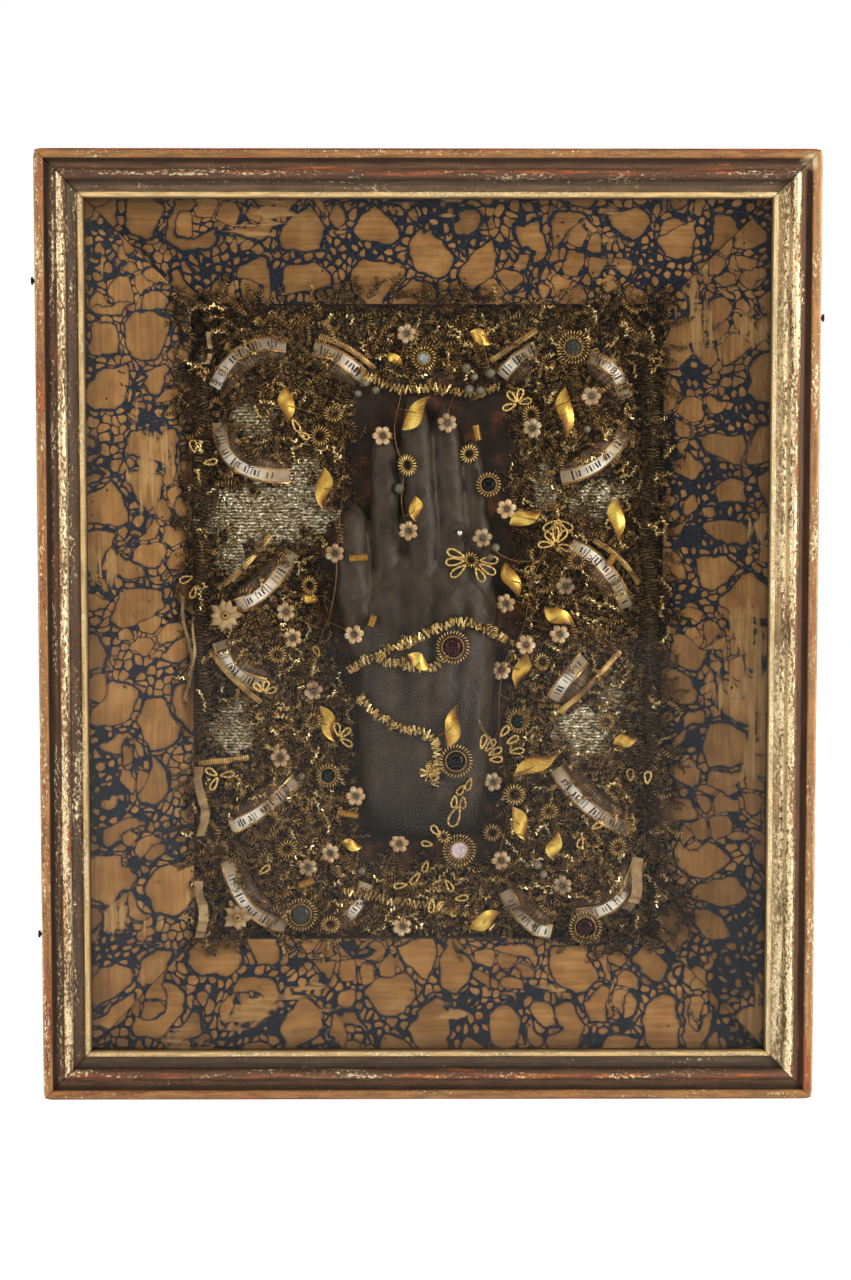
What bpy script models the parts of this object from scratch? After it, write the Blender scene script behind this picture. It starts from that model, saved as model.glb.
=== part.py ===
"""Glazed reliquary panel: a cast hand on a padded ground, set about with name strips, gilt wire and stones.

Metres, +Z up. The panel stands on its bottom edge at z = 0 and faces -Y, and its middle is at x = 0, y = 0.
A depth is a y value: the smaller it is, the nearer the viewer. Places in the sunken compartment are given
as (across, up) shares of its mouth, and what lies there rests on what was laid before it.
"""

import math

import bmesh
import bpy
from mathutils import Vector
from mathutils.bvhtree import BVHTree

# How finely routes are sampled and what lies beneath is felt for
CURVE_STEPS = 24
FEELER_RINGS = (0.36, 0.70, 1.04)  # shares of the reach
FEELERS = 12

# The whole panel
WIDTH = 0.350
HEIGHT = 0.428
DEPTH = 0.070
GAP = 0.0003  # left between neighbours that touch
MITRE_GAP = 0.75 * GAP  # taken off each end of a mitred board, along the board
HARD_EDGE = math.radians(40)  # edges sharper than this are shaded sharp
SOFT_EDGE = math.radians(60)

# Frame moulding, from the outer edge inwards and from the front backwards
RAIL_WIDTH = 0.0212
RAIL_THICK = 0.0175
BEAD_WIDTH = 0.0043
BEAD_OUTER_ROUND = 0.0016
BEAD_INNER_ROUND = 0.0009
QUIRK_DEEP = 0.0036
QUIRK_WIDTH = 0.0011
HOLLOW_WIDTH = 0.0044
TORUS_RADIUS = 0.0026
TORUS_START = 30  # degrees above the torus's own level where it rises out of the hollow
TORUS_DROP = 0.0009
COVE_STEP = 0.0009
COVE_DEEP = 0.0026
FILLET_WIDTH = 0.0030
FILLET_STEP = 0.0007
LIP_THICK = 0.0046
REBATE_WIDTH = 0.0057

# Glass, case and back
GLASS_THICK = 0.0020
PANE_CLEARANCE = 0.0005
CASE_WALL = 0.009
BACK_THICK = 0.005
BACK_REBATE = 0.0045

# Splay and tray
SPLAY_THICK = 0.0025
SPLAY_RUN = 0.049
TRAY_WALL = 0.003
TRAY_FLOOR = 0.0025
TRAY_DEEP = 0.0155

# Nails in the frame's outer edges: side and share of the height
NAILS = (("left", 0.865), ("left", 0.175), ("right", 0.827))
NAIL_SHANK_RADIUS = 0.0008
NAIL_HEAD_RADIUS = 0.0017
NAIL_HEAD_THICK = 0.0008
NAIL_PROUD = 0.0026
NAIL_DEEP = 0.008
NAIL_LEVEL = 0.0085  # above the frame's back
NAIL_SIDES = 8

# Padded ground
PAD_THICK = 0.0130
PAD_EDGE_THICK = 0.0095
PAD_SHOULDER = 0.016  # from the tray's wall to the full thickness
TROUGH_THICK = 0.003
TROUGH_MARGIN = 0.014  # around the hand
TROUGH_SLOPE = 0.30  # of the trough's half size
MOUND_RISE = 0.0045
MOUND_RADIUS = 0.024
MOUNDS = ((0.207, 0.832), (0.785, 0.829), (0.225, 0.135), (0.835, 0.142))
PAD_CELLS = (14, 19)

# The hand, all in shares of its length from the lower end to the middle fingertip
HAND_LENGTH = 0.210
HAND_PLACE = (0.495, 0.154)
HAND_SIDES = 10
PALM_FULLNESS = 0.75  # 1 gives round sections, less gives squarer ones
PALM_SECTIONS = (  # up, across, width, thickness
    (0.000, -0.017, 0.130, 0.034),
    (0.018, -0.017, 0.205, 0.060),
    (0.055, -0.017, 0.250, 0.078),
    (0.125, -0.016, 0.266, 0.086),
    (0.240, -0.010, 0.281, 0.090),
    (0.340, -0.003, 0.302, 0.095),
    (0.440, 0.003, 0.317, 0.096),
    (0.520, 0.004, 0.318, 0.090),
    (0.585, 0.003, 0.300, 0.075),
    (0.630, 0.001, 0.270, 0.058),
    (0.658, 0.000, 0.225, 0.036),
)
FINGERS = {  # width, then (across, up) of the root, the middle knuckle and the tip
    "thumb": (0.072, (-0.112, 0.400), (-0.168, 0.555), (-0.176, 0.762)),
    "index": (0.070, (-0.095, 0.500), (-0.104, 0.692), (-0.104, 0.926)),
    "middle": (0.079, (-0.018, 0.490), (-0.022, 0.705), (-0.024, 1.000)),
    "ring": (0.070, (0.051, 0.490), (0.052, 0.700), (0.047, 0.981)),
    "little": (0.059, (0.118, 0.480), (0.116, 0.672), (0.110, 0.903)),
}
FINGER_PROFILE = (  # share of the finger's length, share of its width
    (0.00, 0.80),
    (0.22, 1.00),
    (0.38, 0.94),
    (0.50, 1.04),
    (0.64, 0.92),
    (0.80, 0.94),
    (0.90, 0.86),
    (0.97, 0.58),
)
FINGER_FLATNESS = 0.92
FINGER_LIFT = 0.004  # off the palm's flat back
FINGERTIP_LEVEL = 0.4  # of the finger's width

# Name strips and gilt bars: start, middle and end of each
STRIP_WIDTH = 0.0066
STRIP_THICK = 0.0007
STRIP_RISE = 0.0055
STRIP_TILT = 0.45
NAME_STRIPS = (
    ((0.050, 0.870), (0.112, 0.925), (0.202, 0.936)),
    ((0.258, 0.931), (0.317, 0.915), (0.371, 0.881)),
    ((0.060, 0.816), (0.095, 0.752), (0.207, 0.732)),
    ((0.658, 0.888), (0.689, 0.913), (0.731, 0.931)),
    ((0.840, 0.917), (0.890, 0.896), (0.918, 0.853)),
    ((0.782, 0.730), (0.862, 0.752), (0.917, 0.801)),
    ((0.094, 0.528), (0.160, 0.558), (0.212, 0.613)),
    ((0.057, 0.473), (0.090, 0.428), (0.152, 0.403)),
    ((0.078, 0.179), (0.148, 0.207), (0.221, 0.253)),
    ((0.071, 0.126), (0.114, 0.056), (0.196, 0.020)),
    ((0.304, 0.022), (0.343, 0.047), (0.368, 0.085)),
    ((0.804, 0.625), (0.876, 0.588), (0.925, 0.526)),
    ((0.769, 0.380), (0.799, 0.418), (0.835, 0.446)),
    ((0.774, 0.271), (0.842, 0.213), (0.932, 0.174)),
    ((0.820, 0.037), (0.903, 0.063), (0.955, 0.126)),
    ((0.666, 0.075), (0.713, 0.030), (0.766, 0.012)),
)
BAR_WIDTH = 0.0034
BAR_THICK = 0.0006
BAR_RISE = 0.0040
BAR_TILT = 0.25
GILT_BARS = (
    ((0.271, 0.950), (0.331, 0.932), (0.388, 0.900)),
    ((0.635, 0.912), (0.683, 0.937), (0.731, 0.960)),
    ((0.054, 0.556), (0.115, 0.594), (0.166, 0.641)),
    ((0.036, 0.459), (0.087, 0.416), (0.145, 0.376)),
    ((0.853, 0.632), (0.908, 0.603), (0.952, 0.562)),
    ((0.781, 0.360), (0.850, 0.408), (0.911, 0.458)),
    ((0.012, 0.281), (0.064, 0.286), (0.119, 0.289)),
)
BAND_STATIONS = 7

# Jewels: place and radius
JEWEL_DEEP = 0.0032
JEWEL_DOME = 0.0014
JEWEL_SIDES = 10
JEWEL_COLLAR = 0.32  # share of the radius that the collar takes
JEWEL_SEAT = 0.07  # share of the radius between the collar and the stone
SMALL_STONE = 0.0057
LARGE_STONE = 0.0077
JEWELS = {
    "jewel_top": ((0.492, 0.917), SMALL_STONE),
    "jewel_top_right": ((0.807, 0.932), LARGE_STONE),
    "jewel_finger": ((0.629, 0.719), SMALL_STONE),
    "jewel_right": ((0.695, 0.344), SMALL_STONE),
    "jewel_left": ((0.286, 0.257), SMALL_STONE),
    "jewel_wrist": ((0.568, 0.141), LARGE_STONE),
    "jewel_bottom_left": ((0.228, 0.040), LARGE_STONE),
    "jewel_bottom_right": ((0.837, 0.022), LARGE_STONE),
}
UPPER_STONE = ((0.553, 0.466), LARGE_STONE)
LOWER_STONE = ((0.560, 0.287), LARGE_STONE)

# Garlands of crimped wire: the route of each, with the leaves and flowers on it
GARLAND_RADIUS = 0.0021
GARLAND_PINCH = 0.6  # share of the radius left between two crimps
GARLAND_PITCH = 0.0030
GARLAND_SIDES = 5
TOP_ROUTE = (
    (0.350, 0.897),
    (0.400, 0.880),
    (0.446, 0.868),
    (0.520, 0.872),
    (0.589, 0.862),
    (0.655, 0.872),
)
DROP_ROUTE = ((0.446, 0.868), (0.430, 0.800), (0.448, 0.740), (0.445, 0.690), (0.459, 0.640))
UPPER_ROUTE = (
    (0.330, 0.427),
    (0.376, 0.448),
    (0.430, 0.466),
    (0.492, 0.486),
    (0.560, 0.505),
    (0.629, 0.492),
    (0.668, 0.474),
)
UPPER_LOOP = ((0.385, 0.452), (0.440, 0.440), (0.509, 0.436), (0.553, 0.466))
LOWER_ROUTE = (
    (0.357, 0.384),
    (0.400, 0.355),
    (0.454, 0.338),
    (0.500, 0.330),
    (0.520, 0.300),
    (0.515, 0.246),
)
BOTTOM_ROUTE = (
    (0.318, 0.075),
    (0.375, 0.068),
    (0.441, 0.055),
    (0.510, 0.050),
    (0.580, 0.036),
    (0.640, 0.018),
)
TOP_LEAVES = (
    ((0.440, 0.805), (0.512, 0.856)),
    ((0.589, 0.955), (0.642, 0.938)),
    ((0.417, 0.922), (0.452, 0.903)),
)
DROP_LEAVES = (((0.466, 0.702), (0.478, 0.660)),)
TOP_FLOWERS = ((0.404, 0.795), (0.541, 0.815), (0.459, 0.647), (0.455, 0.955))
UPPER_LEAVES = (((0.449, 0.467), (0.506, 0.456)),)
LOWER_LEAVES = (((0.541, 0.309), (0.566, 0.378)),)
BOTTOM_LEAVES = (((0.588, 0.019), (0.662, 0.044)),)
BOTTOM_FLOWERS = ((0.440, 0.018), (0.439, 0.142))

# Sprays: stems left and right of the hand
WIRE_RADIUS = 0.0006
WIRE_PITCH = 0.011
WIRE_SIDES = 4
STEM_SAMPLE = 0.0012
LEFT_STEM = (
    (0.292, 0.170),
    (0.280, 0.220),
    (0.250, 0.300),
    (0.222, 0.390),
    (0.262, 0.460),
    (0.300, 0.540),
    (0.312, 0.650),
    (0.322, 0.740),
    (0.318, 0.820),
)
LEFT_LEAVES = (
    ((0.276, 0.752), (0.280, 0.674)),
    ((0.202, 0.872), (0.206, 0.812)),
    ((0.266, 0.370), (0.308, 0.307)),
    ((0.313, 0.150), (0.362, 0.142)),
    ((0.229, 0.547), (0.270, 0.532)),
)
LEFT_FLOWERS = (
    (0.303, 0.612),
    (0.344, 0.485),
    (0.197, 0.516),
    (0.211, 0.474),
    (0.255, 0.393),
    (0.191, 0.287),
    (0.346, 0.228),
    (0.268, 0.118),
)
RIGHT_STEM = (
    (0.655, 0.128),
    (0.676, 0.220),
    (0.655, 0.320),
    (0.660, 0.426),
    (0.705, 0.490),
    (0.722, 0.560),
    (0.766, 0.660),
    (0.750, 0.745),
    (0.722, 0.805),
)
RIGHT_LEAVES = (
    ((0.790, 0.872), (0.791, 0.786)),
    ((0.672, 0.655), (0.746, 0.679)),
    ((0.665, 0.598), (0.696, 0.537)),
    ((0.746, 0.527), (0.815, 0.497)),
    ((0.712, 0.455), (0.690, 0.394)),
    ((0.692, 0.262), (0.782, 0.299)),
    ((0.686, 0.224), (0.715, 0.170)),
    ((0.762, 0.128), (0.778, 0.176)),
)
RIGHT_FLOWERS = (
    (0.721, 0.807),
    (0.845, 0.860),
    (0.664, 0.706),
    (0.794, 0.562),
    (0.781, 0.480),
    (0.660, 0.426),
    (0.640, 0.248),
    (0.788, 0.087),
)
LEAF_WIDTH = 0.0062
LEAF_THICK = 0.0008
LEAF_BOW = 0.0016
LEAF_TWIST = 1.1  # radians from end to end
LEAF_FLAT = 0.35  # share of the length where the leaf faces the front
LEAF_STATIONS = ((0.18, 0.55), (0.45, 1.00), (0.78, 0.62))
FLOWER_RADIUS = 0.0047
FLOWER_NOTCH = 0.68
FLOWER_DEEP = 0.0014
FLOWER_PETALS = 6

# Dark frizzy edging down both sides of the compartment
EDGING_RADIUS = 0.0034
EDGING_PITCH = 0.0080
EDGING_SWELL = 0.22
EDGING_WAVE = 0.0014
EDGING_SIDES = 6
LEFT_EDGING = (
    (0.100, 0.965),
    (0.035, 0.940),
    (0.022, 0.800),
    (0.024, 0.640),
    (0.018, 0.500),
    (0.020, 0.330),
)
RIGHT_EDGING = (
    (0.880, 0.968),
    (0.955, 0.940),
    (0.974, 0.780),
    (0.970, 0.640),
    (0.974, 0.400),
    (0.985, 0.150),
)
EDGING_LEAVES = (((0.898, 0.705), (0.903, 0.629)), ((0.890, 0.311), (0.948, 0.323)))

# Colours, roughness and metallic share
FINISHES = {
    "gilt_wood": ((0.36, 0.27, 0.15), 0.45, 0.3),
    "clear_glass": ((0.90, 0.93, 0.92), 0.05, 0.0),
    "case_wood": ((0.22, 0.13, 0.07), 0.75, 0.0),
    "marbled_paper": ((0.24, 0.15, 0.08), 0.8, 0.0),
    "tray_card": ((0.14, 0.10, 0.07), 0.9, 0.0),
    "padded_cloth": ((0.16, 0.10, 0.06), 0.85, 0.0),
    "cast_hand": ((0.08, 0.07, 0.06), 0.55, 0.0),
    "label_paper": ((0.74, 0.71, 0.64), 0.7, 0.0),
    "gilt_foil": ((0.72, 0.48, 0.14), 0.3, 1.0),
    "coloured_glass": ((0.10, 0.12, 0.08), 0.15, 0.0),
    "tarnished_wire": ((0.12, 0.08, 0.04), 0.5, 0.8),
    "iron": ((0.05, 0.04, 0.035), 0.6, 0.8),
}

# Depths that follow from the sizes
FRONT_Y = -DEPTH / 2
BACK_Y = DEPTH / 2
FRAME_BACK_Y = FRONT_Y + RAIL_THICK
FILLET_DROP = TORUS_DROP + TORUS_RADIUS + COVE_STEP + COVE_DEEP - FILLET_STEP
LIP_BACK_Y = FRONT_Y + FILLET_DROP + LIP_THICK
GLASS_FRONT_Y = LIP_BACK_Y + GAP
GLASS_BACK_Y = GLASS_FRONT_Y + GLASS_THICK
TRAY_BACK_Y = BACK_Y - BACK_THICK - GAP
TRAY_FLOOR_Y = TRAY_BACK_Y - TRAY_FLOOR
TRAY_RIM_Y = TRAY_FLOOR_Y - TRAY_DEEP

# Insets from the panel's outer edge that follow from the sizes
REBATE_INSET = RAIL_WIDTH - REBATE_WIDTH
PANE_INSET = REBATE_INSET + PANE_CLEARANCE
MOUTH_INSET = PANE_INSET + SPLAY_RUN
MOUTH_WIDTH = WIDTH - 2 * MOUTH_INSET
MOUTH_HEIGHT = HEIGHT - 2 * MOUTH_INSET

laid = []  # surfaces that later pieces rest on


def principled(name):
    """The named finish as a material."""
    colour, roughness, metallic = FINISHES[name]
    material = bpy.data.materials.get(name) or bpy.data.materials.new(name)
    material.use_nodes = True
    shader = material.node_tree.nodes["Principled BSDF"]
    shader.inputs["Base Color"].default_value = (*colour, 1.0)
    shader.inputs["Roughness"].default_value = roughness
    shader.inputs["Metallic"].default_value = metallic
    material.diffuse_color = (*colour, 1.0)
    return material


def add_object(name, shape, finish, smooth_angle=None):
    """Makes an object of a bmesh in panel coordinates, with its origin in its middle, and frees the bmesh."""
    bmesh.ops.recalc_face_normals(shape, faces=shape.faces)
    laid.append(BVHTree.FromBMesh(shape))
    low = Vector(min(v.co[i] for v in shape.verts) for i in range(3))
    high = Vector(max(v.co[i] for v in shape.verts) for i in range(3))
    middle = (low + high) / 2
    bmesh.ops.translate(shape, verts=shape.verts, vec=-middle)
    mesh = bpy.data.meshes.new(name)
    shape.to_mesh(mesh)
    shape.free()
    mesh.materials.append(principled(finish))
    if smooth_angle is not None:
        mesh.shade_smooth()
        mesh.set_sharp_from_angle(angle=smooth_angle)
    piece = bpy.data.objects.new(name, mesh)
    bpy.context.scene.collection.objects.link(piece)
    piece.location = middle
    piece.parent = bpy.data.objects["reliquary_panel"]
    return piece


def loft(rings, folded=False):
    """A closed bmesh through rings of equal count. A first or last ring may be a single point.

    Folded sides are split by diagonals that start at every second point, as the sharp edges of a thin
    twisted blade need.
    """
    shape = bmesh.new()
    rows = [[shape.verts.new(point) for point in ring] for ring in rings]
    count = max(len(row) for row in rows)
    for low, high in zip(rows, rows[1:]):
        for i in range(count):
            j = (i + 1) % count
            if len(low) == 1:
                shape.faces.new((low[0], high[j], high[i]))
            elif len(high) == 1:
                shape.faces.new((low[i], low[j], high[0]))
            elif not folded:
                shape.faces.new((low[i], low[j], high[j], high[i]))
            elif i % 2:
                shape.faces.new((low[i], low[j], high[i]))
                shape.faces.new((low[j], high[j], high[i]))
            else:
                shape.faces.new((low[i], low[j], high[j]))
                shape.faces.new((low[i], high[j], high[i]))
    for row in (rows[0], rows[-1]):
        if len(row) > 1:
            shape.faces.new(row)
    bmesh.ops.recalc_face_normals(shape, faces=shape.faces)
    return shape


def arc(centre, radius, start, end, steps):
    """Points of an arc in a section, angles in degrees."""
    angles = [math.radians(start + (end - start) * i / steps) for i in range(steps + 1)]
    return [(centre[0] + radius * math.cos(a), centre[1] + radius * math.sin(a)) for a in angles]


def quadratic(start, control, end, t):
    """A point of a curve with one control point."""
    return (1 - t) ** 2 * start + 2 * t * (1 - t) * control + t**2 * end


def smooth_route(points, spacing):
    """A smooth curve through (across, up) shares, as evenly spaced (x, z) points."""
    spots = [Vector(place(*point)) for point in points]
    spots = [2 * spots[0] - spots[1]] + spots + [2 * spots[-1] - spots[-2]]
    dense = []
    for before, a, b, after in zip(spots, spots[1:], spots[2:], spots[3:]):
        for i in range(CURVE_STEPS):
            t = i / CURVE_STEPS
            dense.append(
                0.5
                * (
                    2 * a
                    + (b - before) * t
                    + (2 * before - 5 * a + 4 * b - after) * t**2
                    + (3 * a - before - 3 * b + after) * t**3
                )
            )
    dense.append(spots[-2])
    lengths = [0.0]
    for a, b in zip(dense, dense[1:]):
        lengths.append(lengths[-1] + (b - a).length)
    steps = max(2, round(lengths[-1] / spacing))
    even = []
    k = 0
    for i in range(steps + 1):
        goal = lengths[-1] * i / steps
        while k < len(dense) - 2 and lengths[k + 1] < goal:
            k += 1
        share = (goal - lengths[k]) / (lengths[k + 1] - lengths[k])
        even.append(dense[k].lerp(dense[k + 1], share))
    return even


def place(across, up):
    """The x and z of a place given as shares of the compartment's mouth."""
    return (across - 0.5) * MOUTH_WIDTH, HEIGHT / 2 + (up - 0.5) * MOUTH_HEIGHT


def front_of(x, z, reach):
    """The depth of the foremost surface laid so far, within a reach of a place."""
    spots = [(x, z)]
    for ring in FEELER_RINGS:
        for i in range(FEELERS):
            angle = math.tau * (i + ring) / FEELERS
            spots.append((x + ring * reach * math.cos(angle), z + ring * reach * math.sin(angle)))
    foremost = TRAY_FLOOR_Y
    for tree in laid:
        for spot_x, spot_z in spots:
            hit = tree.ray_cast(Vector((spot_x, GLASS_BACK_Y, spot_z)), Vector((0, 1, 0)))[0]
            if hit:
                foremost = min(foremost, hit.y)
    return foremost


def fuse(shapes):
    """One closed bmesh of overlapping closed ones, which are freed."""
    operands = bpy.data.collections.new("operands")
    first = None
    for shape in shapes:
        mesh = bpy.data.meshes.new("operand")
        shape.to_mesh(mesh)
        shape.free()
        piece = bpy.data.objects.new("operand", mesh)
        if first is None:
            first = piece
            bpy.context.scene.collection.objects.link(piece)
        else:
            operands.objects.link(piece)
    union = first.modifiers.new("union", "BOOLEAN")
    union.operation = "UNION"
    union.operand_type = "COLLECTION"
    union.collection = operands
    union.solver = "EXACT"
    bpy.context.view_layer.update()
    result = bmesh.new()
    evaluated = first.evaluated_get(bpy.context.evaluated_depsgraph_get())
    result.from_mesh(evaluated.to_mesh())
    evaluated.to_mesh_clear()
    for piece in [first, *operands.objects]:
        bpy.data.objects.remove(piece)
    bpy.data.collections.remove(operands)
    return result


# Frame, glass, case and splay


def mitred_member(name, section, side, finish, cutters=(), smooth_angle=None):
    """One mitred board of a four-sided frame. The section is a list of (inset from the panel's edge, y)."""
    edge_x, edge_z = WIDTH / 2, HEIGHT / 2
    start, along, inward = {
        "bottom": (Vector((-edge_x, 0, -edge_z)), Vector((1, 0, 0)), Vector((0, 0, 1))),
        "right": (Vector((edge_x, 0, -edge_z)), Vector((0, 0, 1)), Vector((-1, 0, 0))),
        "top": (Vector((edge_x, 0, edge_z)), Vector((-1, 0, 0)), Vector((0, 0, -1))),
        "left": (Vector((-edge_x, 0, edge_z)), Vector((0, 0, -1)), Vector((1, 0, 0))),
    }[side]
    length = WIDTH if side in ("bottom", "top") else HEIGHT
    middle = Vector((0, 0, HEIGHT / 2))
    rings = []
    for end in (0, 1):
        ring = []
        for inset, y in section:
            run = inset + MITRE_GAP if end == 0 else length - inset - MITRE_GAP
            ring.append(start + middle + along * run + inward * inset + Vector((0, y, 0)))
        rings.append(ring)
    shape = loft(rings)
    if cutters:
        shape = cut(shape, cutters)
    return add_object(name, shape, finish, smooth_angle)


def cut(shape, cutters):
    """A bmesh less the cutters, which are freed with it."""
    pieces = []
    for item in (shape, *cutters):
        mesh = bpy.data.meshes.new("cut")
        item.to_mesh(mesh)
        item.free()
        piece = bpy.data.objects.new("cut", mesh)
        bpy.context.scene.collection.objects.link(piece)
        pieces.append(piece)
    for cutter in pieces[1:]:
        difference = pieces[0].modifiers.new("difference", "BOOLEAN")
        difference.operation = "DIFFERENCE"
        difference.object = cutter
        difference.solver = "EXACT"
    bpy.context.view_layer.update()
    result = bmesh.new()
    evaluated = pieces[0].evaluated_get(bpy.context.evaluated_depsgraph_get())
    result.from_mesh(evaluated.to_mesh())
    evaluated.to_mesh_clear()
    for piece in pieces:
        bpy.data.objects.remove(piece)
    return result


def moulding_section():
    """The rail's outline: outer bead, quirk, hollow, torus, cove and fillet, then the lip and the rebate."""
    torus_middle = BEAD_WIDTH + HOLLOW_WIDTH + TORUS_RADIUS * math.cos(math.radians(TORUS_START))
    torus_level = -TORUS_DROP - TORUS_RADIUS
    cove_start = torus_middle + TORUS_RADIUS
    cove_end = RAIL_WIDTH - FILLET_WIDTH
    cove_top = torus_level - COVE_STEP
    fillet_level = cove_top - COVE_DEEP + FILLET_STEP
    section = [(0, -RAIL_THICK)]
    section += arc((BEAD_OUTER_ROUND, -BEAD_OUTER_ROUND), BEAD_OUTER_ROUND, 180, 90, 3)
    section += arc((BEAD_WIDTH - BEAD_INNER_ROUND, -BEAD_INNER_ROUND), BEAD_INNER_ROUND, 90, 0, 2)
    section += [(BEAD_WIDTH, -QUIRK_DEEP), (BEAD_WIDTH + QUIRK_WIDTH, -QUIRK_DEEP)]
    section += arc((torus_middle, torus_level), TORUS_RADIUS, 180 - TORUS_START, 0, 6)
    section += [
        (cove_start + (cove_end - cove_start) * (1 - math.cos(a)), cove_top - COVE_DEEP * math.sin(a))
        for a in [math.radians(22.5 * i) for i in range(5)]
    ]
    section += [(cove_end, fillet_level), (RAIL_WIDTH - FILLET_STEP, fillet_level)]
    section += [(RAIL_WIDTH, fillet_level - FILLET_STEP), (RAIL_WIDTH, fillet_level - LIP_THICK)]
    section += [(REBATE_INSET, fillet_level - LIP_THICK), (REBATE_INSET, -RAIL_THICK)]
    return [(inset, FRONT_Y - level) for inset, level in section]


def turned(profile, origin, axis, sides):
    """A closed bmesh of revolution. The profile is (radius, distance along the axis), and 0 closes an end."""
    axis = axis.normalized()
    first = axis.orthogonal().normalized()
    second = axis.cross(first)
    rings = []
    for radius, distance in profile:
        centre = origin + axis * distance
        if radius == 0:
            rings.append([centre])
            continue
        angles = [math.tau * i / sides for i in range(sides)]
        rings.append([centre + first * radius * math.cos(a) + second * radius * math.sin(a) for a in angles])
    return loft(rings)


def nail_place(side, share):
    """The nail's entry point on the frame's outer edge, and the way out of the frame."""
    outward = Vector((-1 if side == "left" else 1, 0, 0))
    return outward * WIDTH / 2 + Vector((0, FRAME_BACK_Y - NAIL_LEVEL, share * HEIGHT)), outward


def nail_hole(side, share):
    entry, outward = nail_place(side, share)
    radius = NAIL_SHANK_RADIUS + GAP
    bottom = -NAIL_DEEP - GAP
    return turned([(0, bottom), (radius, bottom), (radius, GAP), (0, GAP)], entry, outward, NAIL_SIDES)


def add_frame():
    section = moulding_section()
    for side in ("bottom", "right", "top", "left"):
        holes = [nail_hole(*nail) for nail in NAILS if nail[0] == side]
        mitred_member(f"frame_{side}", section, side, "gilt_wood", holes, HARD_EDGE)


def add_nails():
    for number, (side, share) in enumerate(NAILS, 1):
        entry, outward = nail_place(side, share)
        profile = [
            (0, -NAIL_DEEP),
            (NAIL_SHANK_RADIUS, -NAIL_DEEP + NAIL_SHANK_RADIUS),
            (NAIL_SHANK_RADIUS, NAIL_PROUD - NAIL_HEAD_THICK),
            (NAIL_HEAD_RADIUS, NAIL_PROUD - NAIL_HEAD_THICK),
            (NAIL_HEAD_RADIUS, NAIL_PROUD),
            (0, NAIL_PROUD),
        ]
        add_object(f"nail_{number}", turned(profile, entry, outward, NAIL_SIDES), "iron", HARD_EDGE)


def box(low, high):
    """A closed box between two corners."""
    outline = [(low[0], low[2]), (high[0], low[2]), (high[0], high[2]), (low[0], high[2])]
    return loft([[Vector((x, y, z)) for x, z in outline] for y in (low[1], high[1])])


def flat_panel(name, inset, front, back, finish):
    """A flat board or pane inside the panel's outline."""
    low = (-WIDTH / 2 + inset, front, inset)
    high = (WIDTH / 2 - inset, back, HEIGHT - inset)
    add_object(name, box(low, high), finish)


def add_case():
    front = FRAME_BACK_Y + GAP
    rebate_front = BACK_Y - BACK_THICK - GAP
    section = [
        (0, front),
        (CASE_WALL, front),
        (CASE_WALL, rebate_front),
        (CASE_WALL - BACK_REBATE, rebate_front),
        (CASE_WALL - BACK_REBATE, BACK_Y),
        (0, BACK_Y),
    ]
    for side in ("bottom", "right", "top", "left"):
        mitred_member(f"case_{side}", section, side, "case_wood")
    flat_panel("back_board", CASE_WALL - BACK_REBATE + GAP, BACK_Y - BACK_THICK, BACK_Y, "case_wood")


def add_splay():
    """Four boards that slope in from the glass to the tray's rim, lined with paper."""
    front = GLASS_BACK_Y + GAP
    end = TRAY_RIM_Y - GAP
    slope = (end - front) / SPLAY_RUN
    behind = SPLAY_THICK * math.hypot(1, 1 / slope)
    section = [
        (PANE_INSET, front),
        (MOUTH_INSET, end),
        (MOUTH_INSET - behind, end),
        (PANE_INSET, front + behind * slope),
    ]
    for side in ("bottom", "right", "top", "left"):
        mitred_member(f"splay_{side}", section, side, "marbled_paper")


def add_tray():
    """The sunken compartment's box, open to the front."""
    outline = [(-1, -1), (1, -1), (1, 1), (-1, 1)]

    def ring(inset, y):
        half_x, half_z = WIDTH / 2 - inset, HEIGHT / 2 - inset
        return [Vector((sx * half_x, y, HEIGHT / 2 + sz * half_z)) for sx, sz in outline]

    outer = MOUTH_INSET - TRAY_WALL
    rings = [ring(outer, TRAY_BACK_Y), ring(outer, TRAY_RIM_Y), ring(MOUTH_INSET, TRAY_RIM_Y)]
    add_object("relic_tray", loft(rings + [ring(MOUTH_INSET, TRAY_FLOOR_Y)]), "tray_card")


# Padded ground and hand


def ramp(value, low, high):
    """A smooth step from 0 at low to 1 at high."""
    share = min(1, max(0, (value - low) / (high - low)))
    return share * share * (3 - 2 * share)


def pad_thickness(across, up):
    """The padding's thickness: low at the tray's wall, with four mounds and the trough for the hand."""
    x, z = place(across, up)
    dx, dz = MOUTH_WIDTH / 2 - abs(x), MOUTH_HEIGHT / 2 - abs(z - HEIGHT / 2)
    shoulder = math.sin(math.pi / 2 * min(1, min(dx, dz) / PAD_SHOULDER))
    thick = PAD_EDGE_THICK + (PAD_THICK - PAD_EDGE_THICK) * shoulder
    for mound in MOUNDS:
        mound_x, mound_z = place(*mound)
        away = math.hypot(x - mound_x, z - mound_z) / MOUND_RADIUS
        thick += MOUND_RISE * math.exp(-away * away) * shoulder
    hand_x, hand_z = place(*HAND_PLACE)
    left, right = (hand_x + side * HAND_LENGTH for side in hand_span())
    share_x = (x - (left + right) / 2) / ((right - left) / 2 + TROUGH_MARGIN)
    share_z = (z - hand_z - HAND_LENGTH / 2) / (HAND_LENGTH / 2 + TROUGH_MARGIN)
    ring = (share_x**4 + share_z**4) ** 0.25
    return TROUGH_THICK + (thick - TROUGH_THICK) * ramp(ring, 1, 1 + TROUGH_SLOPE)


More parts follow.
